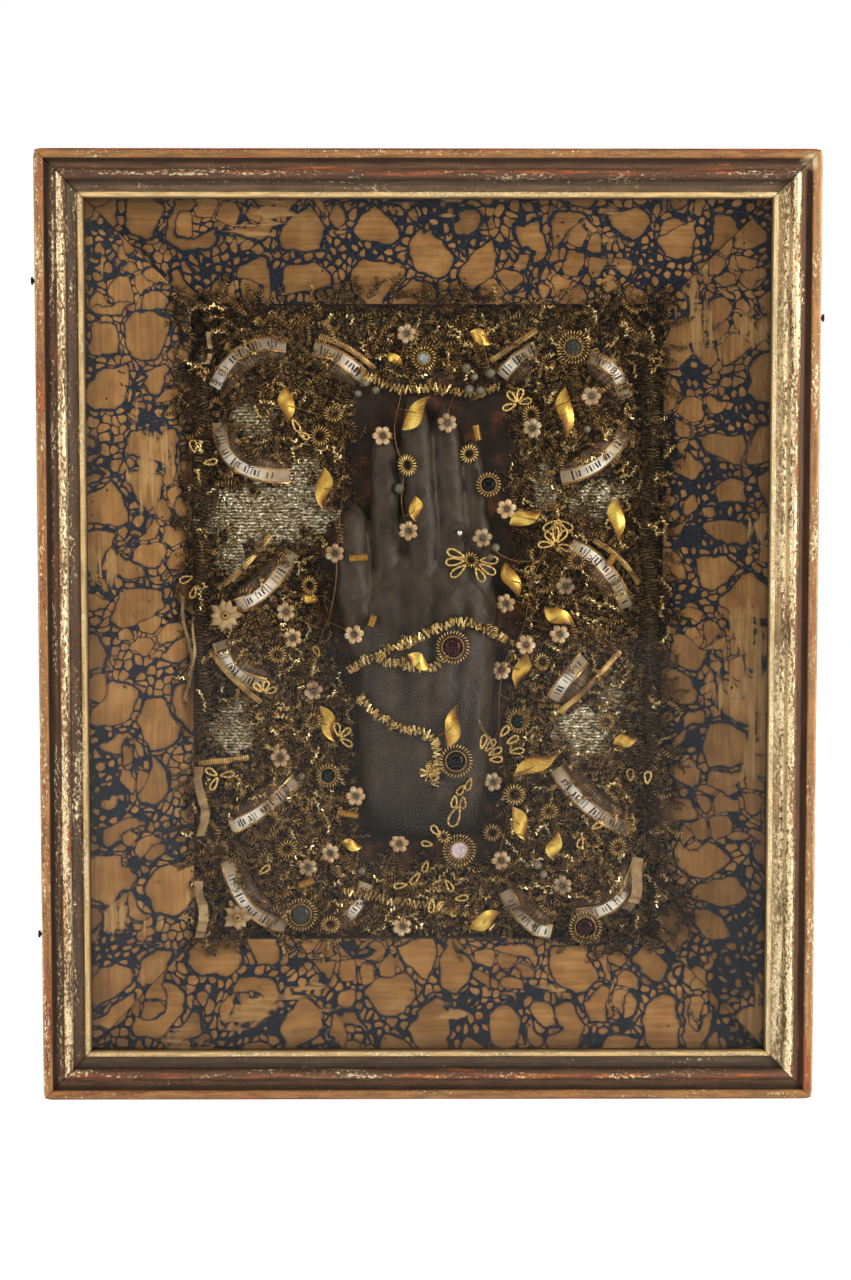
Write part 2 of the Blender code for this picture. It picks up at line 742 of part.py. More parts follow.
def add_ground():
    columns, rows = PAD_CELLS
    margin_x, margin_z = GAP / MOUTH_WIDTH, GAP / MOUTH_HEIGHT
    back = TRAY_FLOOR_Y - GAP
    shape = bmesh.new()
    grid = {}
    for i in range(columns + 1):
        for j in range(rows + 1):
            across = margin_x + (1 - 2 * margin_x) * i / columns
            up = margin_z + (1 - 2 * margin_z) * j / rows
            x, z = place(across, up)
            grid[i, j] = shape.verts.new((x, back - pad_thickness(across, up), z))
    for i in range(columns):
        for j in range(rows):
            shape.faces.new((grid[i, j], grid[i + 1, j], grid[i + 1, j + 1], grid[i, j + 1]))
    rim = [edge for edge in shape.edges if edge.is_boundary]
    walls = bmesh.ops.extrude_edge_only(shape, edges=rim)["geom"]
    for vert in walls:
        if isinstance(vert, bmesh.types.BMVert):
            vert.co.y = back
    floor = [edge for edge in walls if isinstance(edge, bmesh.types.BMEdge) and edge.is_boundary]
    bmesh.ops.contextual_create(shape, geom=floor)
    add_object("padded_ground", shape, "padded_cloth", SOFT_EDGE)


def hand_span():
    """The hand's least and greatest across, in shares of its length."""
    spans = [(across, width) for up, across, width, thick in PALM_SECTIONS]
    spans += [(across, width) for width, *joints in FINGERS.values() for across, up in joints]
    return min(a - w / 2 for a, w in spans), max(a + w / 2 for a, w in spans)


def hand_point(across, up, front):
    """A point of the hand from shares of its length. The front share is measured from its flat back."""
    x, z = place(*HAND_PLACE)
    back = TRAY_FLOOR_Y - TROUGH_THICK - 2 * GAP
    return Vector((x + across * HAND_LENGTH, back - front * HAND_LENGTH, z + up * HAND_LENGTH))


def palm_shape():
    """Wrist and back of the hand: half-round sections on the flat back, rounded off at both ends."""
    rings = []
    for up, across, width, thick in PALM_SECTIONS:
        ring = []
        for i in range(HAND_SIDES + 1):
            angle = math.pi * i / HAND_SIDES
            side = math.copysign(abs(math.cos(angle)) ** PALM_FULLNESS, math.cos(angle))
            front = thick * math.sin(angle) ** PALM_FULLNESS
            ring.append(hand_point(across + side * width / 2, up, front))
        rings.append(ring)
    return loft(rings)


def finger_shape(width, root, knuckle, tip):
    """One finger as a chain of rings through its root, middle knuckle and tip, standing on the flat back."""
    root, knuckle, tip = Vector(root), Vector(knuckle), Vector(tip)
    length = (tip - root).length
    rings = []
    for share, swell in FINGER_PROFILE:
        bent = quadratic(root, 2 * knuckle - (root + tip) / 2, tip, share)
        half = width * swell / 2
        deep = half * FINGER_FLATNESS
        along = ((tip - root) / length + (knuckle - root).normalized()) / 2
        side = Vector((along.y, -along.x))
        ring = []
        for i in range(HAND_SIDES):
            angle = math.tau * (i + 0.5) / HAND_SIDES
            spot = bent + side * half * math.cos(angle)
            ring.append(hand_point(spot.x, spot.y, deep * (1 + math.sin(angle)) + FINGER_LIFT))
        rings.append(ring)
    rings.append([hand_point(tip.x, tip.y, width * FINGERTIP_LEVEL)])
    return loft(rings)


def add_hand():
    shapes = [palm_shape()] + [finger_shape(*finger) for finger in FINGERS.values()]
    add_object("cast_hand", fuse(shapes), "cast_hand", SOFT_EDGE)


# Name strips, gilt bars and jewels


def band(points, width, thick, rise, tilt):
    """A bowed strip: flat on the ground at both ends, and lifted and tilted outwards between them."""
    start, middle, end = (Vector(place(*point)) for point in points)
    control = 2 * middle - (start + end) / 2
    route = [quadratic(start, control, end, i / (BAND_STATIONS - 1)) for i in range(BAND_STATIONS)]
    bulge = middle - (start + end) / 2
    side = 1 if Vector(((end - start).y, -(end - start).x)).dot(bulge) > 0 else -1
    spacing = (route[1] - route[0]).length
    allowed = [front_of(spot.x, spot.y, math.hypot(width / 2, spacing / 2)) - GAP - thick for spot in route]
    rings = []
    for i, spot in enumerate(route):
        t = i / (BAND_STATIONS - 1)
        lift = math.sin(math.pi * t)
        along = (route[min(i + 1, BAND_STATIONS - 1)] - route[max(i - 1, 0)]).normalized()
        outward = Vector((along.y, -along.x)) * side
        lean = tilt * lift
        bowed = allowed[0] + (allowed[-1] - allowed[0]) * t - rise * lift
        y = min(bowed, allowed[i] - width / 2 * math.sin(lean))
        centre = Vector((spot.x, y, spot.y))
        across = Vector((outward.x * math.cos(lean), math.sin(lean), outward.y * math.cos(lean))) * width / 2
        through = across.cross(Vector((along.x, 0, along.y))).normalized() * thick / 2
        corners = ((-1, -1), (1, -1), (1, 1), (-1, 1))
        rings.append([centre + across * a + through * b for a, b in corners])
    return loft(rings)


def add_strips():
    for number, points in enumerate(NAME_STRIPS, 1):
        shape = band(points, STRIP_WIDTH, STRIP_THICK, STRIP_RISE, STRIP_TILT)
        add_object(f"name_strip_{number:02d}", shape, "label_paper", HARD_EDGE)
    for number, points in enumerate(GILT_BARS, 1):
        shape = band(points, BAR_WIDTH, BAR_THICK, BAR_RISE, BAR_TILT)
        add_object(f"gilt_bar_{number}", shape, "gilt_foil", HARD_EDGE)


def jewel(spot, radius):
    """A domed stone in a round collar, lying on what is under it. Returns its shape and its middle."""
    x, z = place(*spot)
    back = front_of(x, z, radius) - GAP
    inner = 1 - JEWEL_COLLAR
    profile = [
        (0, 0),
        (radius, 0),
        (radius, JEWEL_DEEP),
        (inner * radius, JEWEL_DEEP + GAP),
        ((inner - JEWEL_SEAT) * radius, JEWEL_DEEP - GAP),
        (0, JEWEL_DEEP + JEWEL_DOME),
    ]
    shape = turned(profile, Vector((x, back, z)), Vector((0, -1, 0)), JEWEL_SIDES)
    return shape, Vector((x, back - JEWEL_DEEP / 2, z))


def add_jewels():
    for name, (spot, radius) in JEWELS.items():
        add_object(name, jewel(spot, radius)[0], "coloured_glass", HARD_EDGE)


# Garlands, sprays and edging


def tube(points, radii, sides):
    """A closed tube through 3-D points, with a radius for each."""
    rings = []
    for i, point in enumerate(points):
        along = (points[min(i + 1, len(points) - 1)] - points[max(i - 1, 0)]).normalized()
        side = along.cross(Vector((0, 1, 0))).normalized()
        front = side.cross(along)
        angles = [math.tau * (k + 0.5) / sides for k in range(sides)]
        rings.append([point + (side * math.cos(a) + front * math.sin(a)) * radii[i] for a in angles])
    return loft(rings)


def garland(route, radius, pitch, pinch, sides, wave=0.0):
    """A lumpy tube that follows what is under it. Returns its shape and the points of its middle line."""
    spots = smooth_route(route, pitch)
    points, radii = [], []
    for i, spot in enumerate(spots):
        along = (spots[min(i + 1, len(spots) - 1)] - spots[max(i - 1, 0)]).normalized()
        side = Vector((along.y, -along.x)) * wave * math.sin(i * math.pi / 2)
        x, z = spot + side
        points.append(Vector((x, front_of(x, z, pitch / 2 + radius) - GAP - radius, z)))
        radii.append(radius * (1 if i % 2 else pinch))
    return tube(points, radii, sides), points


def stem(start, end):
    """A thin wire from one 3-D point to another, stretched over whatever stands between them."""
    run = Vector((end.x - start.x, end.z - start.z))
    count = max(3, round(run.length / STEM_SAMPLE))
    hull = []
    for i in range(count + 1):
        t = i / count
        x, z = start.x + run.x * t, start.z + run.y * t
        y = front_of(x, z, STEM_SAMPLE + WIRE_RADIUS) - GAP - WIRE_RADIUS
        if i in (0, count):
            y = (start if i == 0 else end).y
        while len(hull) > 1 and (hull[-1][0] - hull[-2][0]) * (y - hull[-2][1]) <= (
            hull[-1][1] - hull[-2][1]
        ) * (t - hull[-2][0]):
            hull.pop()
        hull.append((t, y))
    points = [Vector((start.x + run.x * t, y, start.z + run.y * t)) for t, y in hull]
    return tube(points, [WIRE_RADIUS] * len(points), WIRE_SIDES)


def leaf(base, tip):
    """A twisted foil leaf with a ridge down each face. Returns its shape and its middle."""
    start, end = Vector(place(*base)), Vector(place(*tip))
    half = LEAF_WIDTH / 2
    reach = max(half, (end - start).length / (2 * len(LEAF_STATIONS)))
    stops = [start.lerp(end, share) for share, swell in LEAF_STATIONS]
    y = min(front_of(stop.x, stop.y, reach) for stop in stops) - GAP - half
    along = (end - start).normalized()
    side = Vector((along.y, 0, -along.x))
    forward = Vector((0, -1, 0))
    rings = [[Vector((start.x, y, start.y))]]
    for share, swell in LEAF_STATIONS:
        spot = start.lerp(end, share)
        turn = LEAF_TWIST * (share - LEAF_FLAT)
        across = side * math.cos(turn) + forward * math.sin(turn)
        ridge = forward * math.cos(turn) - side * math.sin(turn)
        centre = Vector((spot.x, y - LEAF_BOW * math.sin(math.pi * share), spot.y))
        wide = across * half * swell
        thick = ridge * LEAF_THICK / 2
        rings.append([centre - wide, centre - thick, centre + wide, centre + thick])
    rings.append([Vector((end.x, y, end.y))])
    middle = start.lerp(end, 0.5)
    return loft(rings, folded=True), Vector((middle.x, y - LEAF_BOW, middle.y))


def flower(spot):
    """A six-petal flower as a domed star. Returns its shape and its middle."""
    x, z = place(*spot)
    y = front_of(x, z, FLOWER_RADIUS) - GAP - FLOWER_DEEP / 2
    rim = []
    for i in range(2 * FLOWER_PETALS):
        angle = math.pi * i / FLOWER_PETALS
        radius = FLOWER_RADIUS * (1 if i % 2 else FLOWER_NOTCH)
        rim.append(Vector((x + radius * math.cos(angle), y, z + radius * math.sin(angle))))
    shape = loft([[Vector((x, y + FLOWER_DEEP / 2, z))], rim, [Vector((x, y - FLOWER_DEEP, z))]])
    return shape, Vector((x, y, z))


def dressed(wires, heads):
    """Wires and the heads on them, each on a stem from the nearest wire before it, fused into one shape."""
    shapes, points = [wires[0][0]], list(wires[0][1])
    for shape, line in wires[1:]:
        shapes += [shape, stem(nearest(points, line[0]), line[0])]
        points += line
    for shape, middle in heads:
        shapes += [shape, stem(nearest(points, middle), middle)]
    return fuse(shapes)


def nearest(points, goal):
    return min(points, key=lambda point: (point - goal).length)


def crimped(route):
    return garland(route, GARLAND_RADIUS, GARLAND_PITCH, GARLAND_PINCH, GARLAND_SIDES)


def plain_wire(route):
    return garland(route, WIRE_RADIUS, WIRE_PITCH, 1, WIRE_SIDES)


def heads_of(leaves=(), flowers=(), stones=()):
    heads = [leaf(*ends) for ends in leaves]
    heads += [flower(spot) for spot in flowers]
    return heads + [jewel(*stone) for stone in stones]


def add_garlands():
    for name, wires, heads in (
        ("garland_upper", (UPPER_ROUTE, UPPER_LOOP), {"leaves": UPPER_LEAVES, "stones": (UPPER_STONE,)}),
        ("garland_lower", (LOWER_ROUTE,), {"leaves": LOWER_LEAVES, "stones": (LOWER_STONE,)}),
        ("garland_bottom", (BOTTOM_ROUTE,), {"leaves": BOTTOM_LEAVES, "flowers": BOTTOM_FLOWERS}),
    ):
        shape = dressed([crimped(route) for route in wires], heads_of(**heads))
        add_object(name, shape, "gilt_foil", HARD_EDGE)
    wires = [crimped(TOP_ROUTE), plain_wire(DROP_ROUTE)]
    shape = dressed(wires, heads_of(TOP_LEAVES + DROP_LEAVES, TOP_FLOWERS))
    add_object("garland_top", shape, "gilt_foil", HARD_EDGE)


def add_sprays():
    for name, route, leaves, flowers in (
        ("spray_left", LEFT_STEM, LEFT_LEAVES, LEFT_FLOWERS),
        ("spray_right", RIGHT_STEM, RIGHT_LEAVES, RIGHT_FLOWERS),
    ):
        shape = dressed([plain_wire(route)], heads_of(leaves, flowers))
        add_object(name, shape, "gilt_foil", HARD_EDGE)


def add_edging():
    for name, route, leaves in (
        ("wire_edging_left", LEFT_EDGING, ()),
        ("wire_edging_right", RIGHT_EDGING, EDGING_LEAVES),
    ):
        roll = garland(route, EDGING_RADIUS, EDGING_PITCH, 1 - EDGING_SWELL, EDGING_SIDES, EDGING_WAVE)
        add_object(name, dressed([roll], heads_of(leaves)), "tarnished_wire", SOFT_EDGE)


def build():
    for old in list(bpy.data.objects):
        bpy.data.objects.remove(old)
    root = bpy.data.objects.new("reliquary_panel", None)
    bpy.context.scene.collection.objects.link(root)
    add_frame()
    add_nails()
    add_case()
    laid.clear()
    add_splay()
    add_tray()
    add_ground()
    add_hand()
    add_strips()
    add_edging()
    add_jewels()
    add_garlands()
    add_sprays()
    flat_panel("glass_pane", PANE_INSET, GLASS_FRONT_Y, GLASS_BACK_Y, "clear_glass")


build()
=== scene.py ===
"""The looks of the glazed reliquary panel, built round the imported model.

Metres, +Z up, front at -Y, so a smaller y is nearer the viewer. Places in the sunken compartment are given
as (across, up) shares of its mouth. What lies there rests on a relief, a map of the foremost surface so far.
"""

import math

import bpy
import numpy as np
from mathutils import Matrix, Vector
from mathutils.bvhtree import BVHTree


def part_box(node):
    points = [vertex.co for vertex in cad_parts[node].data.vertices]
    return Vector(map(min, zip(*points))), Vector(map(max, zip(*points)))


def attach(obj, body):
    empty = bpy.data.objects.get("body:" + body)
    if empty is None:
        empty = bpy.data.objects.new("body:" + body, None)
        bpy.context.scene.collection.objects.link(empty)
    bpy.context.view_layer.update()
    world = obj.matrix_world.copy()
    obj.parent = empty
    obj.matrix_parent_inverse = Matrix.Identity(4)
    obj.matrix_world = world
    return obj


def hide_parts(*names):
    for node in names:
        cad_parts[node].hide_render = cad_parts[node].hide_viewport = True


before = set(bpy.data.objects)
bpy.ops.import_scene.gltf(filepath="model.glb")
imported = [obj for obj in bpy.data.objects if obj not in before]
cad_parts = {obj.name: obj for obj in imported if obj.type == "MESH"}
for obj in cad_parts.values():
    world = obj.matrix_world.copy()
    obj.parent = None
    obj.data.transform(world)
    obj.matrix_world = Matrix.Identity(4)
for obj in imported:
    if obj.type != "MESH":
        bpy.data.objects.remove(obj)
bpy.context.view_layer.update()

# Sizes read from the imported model
GAP = 0.0003
HALF_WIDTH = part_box("frame_right")[1].x
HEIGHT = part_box("frame_top")[1].z
FRONT_Y, FRAME_BACK_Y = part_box("frame_top")[0].y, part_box("frame_top")[1].y
GLASS_BACK_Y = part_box("glass_pane")[1].y
MOUTH_HALF_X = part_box("padded_ground")[1].x + GAP
MOUTH_LOW_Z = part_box("padded_ground")[0].z - GAP
MOUTH_WIDTH = 2 * MOUTH_HALF_X
MOUTH_HEIGHT = HEIGHT - 2 * MOUTH_LOW_Z
GROUND_BACK_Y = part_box("padded_ground")[1].y

TAU = math.tau
TINY = 1e-12
SEED = 11
draws = np.random.default_rng(SEED)


def srgb(colour):
    """A colour of 0 to 255, in the linear values that shaders take."""
    shares = [value / 255 for value in colour]
    linear = [s / 12.92 if s <= 0.04045 else ((s + 0.055) / 1.055) ** 2.4 for s in shares]
    return (*linear, 1.0)


def place(across, up):
    """The x and z of a place given as shares of the compartment's mouth."""
    return (across - 0.5) * MOUTH_WIDTH, HEIGHT / 2 + (up - 0.5) * MOUTH_HEIGHT


# Curves and noise


def through(keys, count):
    """Rows on a smooth curve through the rows of keys."""
    keys = np.asarray(keys, float)
    keys = np.vstack([2 * keys[0] - keys[1], keys, 2 * keys[-1] - keys[-2]])
    t = np.linspace(0, len(keys) - 3, count)
    i = np.minimum(t.astype(int), len(keys) - 4)
    f = (t - i)[:, None]
    a, b, c, d = keys[i], keys[i + 1], keys[i + 2], keys[i + 3]
    return 0.5 * (2 * b + (c - a) * f + (2 * a - 5 * b + 4 * c - d) * f**2 + (3 * b - a - 3 * c + d) * f**3)


def bowed(start, middle, end, shares):
    """Places at shares of a plain curve through a start, a middle and an end."""
    control = 2 * middle - (start + end) / 2
    shares = np.asarray(shares)[..., None]
    return (1 - shares) ** 2 * start + 2 * shares * (1 - shares) * control + shares**2 * end


def evenly(points, spacing):
    """Rows at an even spacing along a line, whose first two or three numbers are a place."""
    steps = np.linalg.norm(np.diff(points[:, :3], axis=0), axis=1)
    lengths = np.concatenate([[0], np.cumsum(steps)])
    goals = np.linspace(0, lengths[-1], max(3, round(lengths[-1] / spacing)))
    return np.stack([np.interp(goals, lengths, column) for column in points.T], axis=1)


def route(shares, spacing):
    """An even (x, z) line on a smooth curve through places given as shares."""
    spots = np.array([place(*share) for share in shares])
    return evenly(through(spots, 24 * len(spots)), spacing)


def ripple(points, size, seed):
    """Smooth noise of about -1 to 1 at the points, with features of about the given size."""
    waves = np.random.default_rng(seed)
    directions = waves.normal(size=(9, points.shape[1]))
    directions /= np.linalg.norm(directions, axis=1)[:, None]
    directions *= TAU / size * waves.uniform(0.55, 1.3, (9, 1))
    return np.sin(points @ directions.T + waves.uniform(0, TAU, 9)).sum(axis=1) / 3


def smooth_step(values, low, high):
    """From 0 at low to 1 at high, with soft ends."""
    share = np.clip((values - low) / (high - low), 0, 1)
    return share * share * (3 - 2 * share)


def unit(rows):
    """Each row at a length of 1."""
    return rows / (np.linalg.norm(rows, axis=-1, keepdims=True) + TINY)


def turned(along, aside, angle):
    """The x and z of a step along a heading and one to its left."""
    cos, sin = math.cos(angle), math.sin(angle)
    return along * cos - aside * sin, along * sin + aside * cos


def circle(centre, radius, count=40):
    """Points round a ring that faces the viewer."""
    angles = np.linspace(0, TAU, count, endpoint=False)
    return centre + radius * np.stack([np.cos(angles), np.zeros(count), np.sin(angles)], axis=1)


def frames(points, upright, closed=False):
    """The way along a line at each point, the way to its side and the way out of it."""
    along = np.roll(points, -1, 0) - np.roll(points, 1, 0) if closed else np.gradient(points, axis=0)
    along = unit(along)
    side = unit(np.cross(along, np.broadcast_to(upright, points.shape)))
    return along, side, np.cross(side, along)


# Meshes

FORWARD = (0, -1, 0)
BOX_FACES = np.array([[0, 3, 2, 1], [4, 5, 6, 7], [0, 1, 5, 4], [1, 2, 6, 5], [2, 3, 7, 6], [3, 0, 4, 7]])


class Batch:
    """Shapes gathered into one piece, with a tone and a run for each point."""

    def __init__(self):
        self.points, self.faces, self.tones, self.runs = [], [], [], []
        self.count = 0

    def add(self, points, faces, tone=0.5, run=None):
        """Faces are arrays of equal-sided faces. A tone is one number, or one for each point."""
        points = np.asarray(points, float).reshape(-1, 3)
        self.points.append(points)
        self.faces += [np.asarray(group, int) + self.count for group in faces if len(group)]
        self.tones.append(np.broadcast_to(np.asarray(tone, float), (len(points),)))
        self.runs.append(np.zeros((len(points), 3)) if run is None else run)
        self.count += len(points)

    def tube(self, line, radius, sides, tone, **bend):
        """Adds a tube round a line, with one tone or one for each point of the line, and gives its points."""
        shape, faces = sweep(line, radius, sides, **bend)
        self.add(shape, faces, np.repeat(tone, sides) if np.ndim(tone) else tone)
        return shape

    def piece(self, name, material, slot, nodes=(), smooth=60):
        """Makes the object. Smooth is the angle, in degrees, above which an edge stays sharp."""
        points = np.concatenate(self.points)
        mesh = bpy.data.meshes.new(name)
        loops = np.concatenate([group.ravel() for group in self.faces])
        sides = np.concatenate([np.full(len(group), group.shape[1]) for group in self.faces])
        mesh.vertices.add(len(points))
        mesh.vertices.foreach_set("co", points.astype(np.float32).ravel())
        mesh.loops.add(len(loops))
        mesh.loops.foreach_set("vertex_index", loops)
        mesh.polygons.add(len(sides))
        mesh.polygons.foreach_set("loop_start", np.cumsum(sides) - sides)
        mesh.update(calc_edges=True)
        give(mesh, "tone", "FLOAT", np.concatenate(self.tones))
        give(mesh, "run", "FLOAT_VECTOR", np.concatenate(self.runs))
        mesh.shade_smooth()
        if smooth < 180:
            mesh.set_sharp_from_angle(angle=math.radians(smooth))
        made = bpy.data.objects.new(name, mesh)
        bpy.context.scene.collection.objects.link(made)
        mesh.materials.append(material)
        return settle(made, nodes) if slot else made


def give(mesh, name, kind, values):
    """Gives each point of a mesh a number, a vector or a colour."""
    key = {"FLOAT": "value", "FLOAT_VECTOR": "vector", "FLOAT_COLOR": "color"}[kind]
    layer = mesh.attributes.new(name, kind, "POINT")
    layer.data.foreach_set(key, np.asarray(values, np.float32).ravel())


def settle(made, nodes=()):
    """Rides the panel and stands for CAD nodes, which it hides."""
    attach(made, "root")
    if nodes:
        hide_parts(*nodes)
    return made


def grid_faces(rows, columns, around=True, closed=False):
    """The faces of points in rows. Each row closes on itself if around, and the rows do if closed."""
    i = np.arange(rows if closed else rows - 1)[:, None]
    j = np.arange(columns if around else columns - 1)[None, :]
    near, far = i * columns, (i + 1) % rows * columns
    after = (j + 1) % columns
    return np.stack([near + j, far + j, far + after, near + after], axis=-1).reshape(-1, 4)


def tube_faces(count, sides):
    """The wall and the two ends of a row of rings."""
    ends = np.arange(sides)
    return [grid_faces(count, sides), np.array([ends, (count - 1) * sides + ends[::-1]])]


def sweep(points, radius, sides, upright=FORWARD, flat=1.0, closed=False):
    """A tube round a line, with its depth a share of its width, as points and faces."""
    points = np.asarray(points, float)
    count = len(points)
    _, side, front = frames(points, upright, closed)
    radius = np.broadcast_to(radius, (count,))[:, None, None]
    angles = TAU * (np.arange(sides) + 0.5) / sides
    ring = side[:, None] * np.cos(angles)[:, None] + front[:, None] * np.sin(angles)[:, None] * flat
    shape = (points[:, None] + ring * radius).reshape(-1, 3)
    return shape, [grid_faces(count, sides, closed=True)] if closed else tube_faces(count, sides)


# The relief of what lies in the compartment

RELIEF_STEP = 0.0008
RELIEF_MARGIN = 0.012
relief_low = np.array([-MOUTH_HALF_X - RELIEF_MARGIN, MOUTH_LOW_Z - RELIEF_MARGIN])
relief_size = tuple(int((size + 2 * RELIEF_MARGIN) / RELIEF_STEP) + 2 for size in (MOUTH_WIDTH, MOUTH_HEIGHT))
relief = np.full(relief_size, GROUND_BACK_Y)


def cells(x, z, di=0, dk=0):
    """The relief's cells at places, or beside them."""
    i = np.clip(((np.asarray(x) - relief_low[0]) / RELIEF_STEP).round().astype(int), 0, relief_size[0] - 1)
    k = np.clip(((np.asarray(z) - relief_low[1]) / RELIEF_STEP).round().astype(int), 0, relief_size[1] - 1)
    return np.clip(i + di, 0, relief_size[0] - 1), np.clip(k + dk, 0, relief_size[1] - 1)


def lay(points):
    """Raises the relief to hold these points, and the cells beside them."""
    points = np.asarray(points).reshape(-1, 3)
    for di in (-1, 0, 1):
        for dk in (-1, 0, 1):
            np.minimum.at(relief, cells(points[:, 0], points[:, 2], di, dk), points[:, 1])


def surface(x, z, reach):
    """The foremost depth of the relief at places, within a reach of each."""
    span = int(round(reach / RELIEF_STEP))
    found = relief[cells(x, z)]
    for di in range(-span, span + 1):
        for dk in range(-span, span + 1):
            if di * di + dk * dk <= span * span:
                found = np.minimum(found, relief[cells(x, z, di, dk)])
    return found


def resting(spot, reach, lift):
    """A point a little in front of what lies at a place."""
    x, z = place(*spot)
    return np.array([x, surface(x, z, reach) - lift, z])


trees = {}


def cad_depth(node, x, z, spread=0.0015):
    """The depth of a CAD node's front at a place, or of its nearest surface if the place misses it."""
    if node not in trees:
        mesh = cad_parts[node].data
        trees[node] = BVHTree.FromPolygons([v.co for v in mesh.vertices], [p.vertices for p in mesh.polygons])
    for dx, dz in ((0, 0), (spread, 0), (-spread, 0), (0, spread), (0, -spread)):
        hit = trees[node].ray_cast(Vector((x + dx, GLASS_BACK_Y, z + dz)), Vector((0, 1, 0)))[0]
        if hit:
            return hit.y
    return trees[node].find_nearest(Vector((x, 0, z)))[0].y


# Materials


class Value:
    """A node's output. It adds, subtracts and multiplies like a number, by way of Math nodes."""

    def __init__(self, paint, socket):
        self.paint = paint
        self.socket = socket

    def __add__(self, other):
        return self.paint.math("ADD", self, other)

    def __sub__(self, other):
        return self.paint.math("SUBTRACT", self, other)

    def __rsub__(self, other):
        return self.paint.math("SUBTRACT", other, self)

    def __mul__(self, other):
        return self.paint.math("MULTIPLY", self, other)

    __radd__ = __add__
    __rmul__ = __mul__


class Paint:
    """One material's nodes. A socket takes a plain value or another node's output."""

    def __init__(self, name):
        self.material = bpy.data.materials.new(name)
        self.material.use_nodes = True
        self.tree = self.material.node_tree
        self.shader = self.tree.nodes["Principled BSDF"]

    def add(self, kind, sockets, out=0, **settings):
        """Makes a node with its sockets and settings and gives one output."""
        node = self.tree.nodes.new("ShaderNode" + kind)
        for key, value in settings.items():
            setattr(node, key, value)
        for key, value in sockets.items():
            self.plug(node.inputs[key], value)
        return Value(self, node.outputs[out])

    def plug(self, socket, value):
        """Links an output to a socket, or sets its plain value."""
        if isinstance(value, Value):
            self.tree.links.new(value.socket, socket)
        else:
            socket.default_value = value

    def set(self, **sockets):
        """Sets the shader's sockets, with _ for the spaces of their names."""
        for key, value in sockets.items():
            self.plug(self.shader.inputs[key.replace("_", " ")], value)
        return self.material

    def spot(self, scale=(1, 1, 1), offset=(0, 0, 0), turn=(0, 0, 0)):
        """The place on the panel, in metres, stretched and moved."""
        vector = self.add("TexCoord", {}, "Object")
        return self.add("Mapping", {"Vector": vector, "Location": offset, "Rotation": turn, "Scale": scale})

    def attribute(self, name, out="Fac"):
        """Reads a value that the mesh carries."""
        return self.add("Attribute", {}, out, attribute_name=name)

    def noise(self, vector, scale, detail, roughness, distortion=0.0, out="Fac"):
        """A noise texture."""
        sockets = {"Vector": vector, "Scale": scale, "Detail": detail}
        return self.add("TexNoise", {**sockets, "Roughness": roughness, "Distortion": distortion}, out)

    def grain(self, scale, detail, roughness, distortion=0.0):
        """Noise over the panel, whose fineness may differ by axis."""
        if isinstance(scale, tuple):
            return self.noise(self.spot(scale), 1.0, detail, roughness, distortion)
        return self.noise(self.spot(), scale, detail, roughness, distortion)

    def math(self, operation, first, second=0.0, third=0.0):
        """One Math node."""
        return self.add("Math", {0: first, 1: second, 2: third}, operation=operation)

    def shift(self, vector, scale, reach):
        """A place moved about by noise, by up to half a reach."""
        offset = self.noise(vector, scale, 2, 0.5, out="Color")
        centred = self.add("VectorMath", {0: offset, 1: (0.5, 0.5, 0.5)}, operation="SUBTRACT")
        scaled = self.add("VectorMath", {0: centred, "Scale": reach}, operation="SCALE")
        return self.add("VectorMath", {0: vector, 1: scaled}, operation="ADD")

    def fade(self, value, low, high, start=0.0, end=1.0):
        """Start below low, end above high, and a smooth step between."""
        sockets = {"Value": value, "From Min": low, "From Max": high, "To Min": start, "To Max": end}
        return self.add("MapRange", sockets, interpolation_type="SMOOTHSTEP")

    def mix(self, share, first, second):
        """Mixes two colours by a share."""
        return self.add("Mix", {0: share, 6: first, 7: second}, 2, data_type="RGBA")

    def vary(self, colour, value, low, high, start, end):
        """A colour times start where the value is below low, and times end where it is above high."""
        factor = self.fade(value, low, high, start, end)
        grey = self.add("CombineColor", {0: factor, 1: factor, 2: factor})
        return self.add("Mix", {0: 1.0, 6: colour, 7: grey}, 2, data_type="RGBA", blend_type="MULTIPLY")

    def ramp(self, value, positions, *colours):
        """A colour that runs through some colours as the value passes their positions."""
        output = self.add("ValToRGB", {"Fac": value})
        elements = output.socket.node.color_ramp.elements
        while len(elements) < len(colours):
            elements.new(0.5)
        for element, position, colour in zip(elements, positions, colours):
            element.position = position
            element.color = srgb(colour)
        return output

    def bump(self, height, distance, strength):
        """A normal from a height."""
        return self.add("Bump", {"Height": height, "Distance": distance, "Strength": strength})


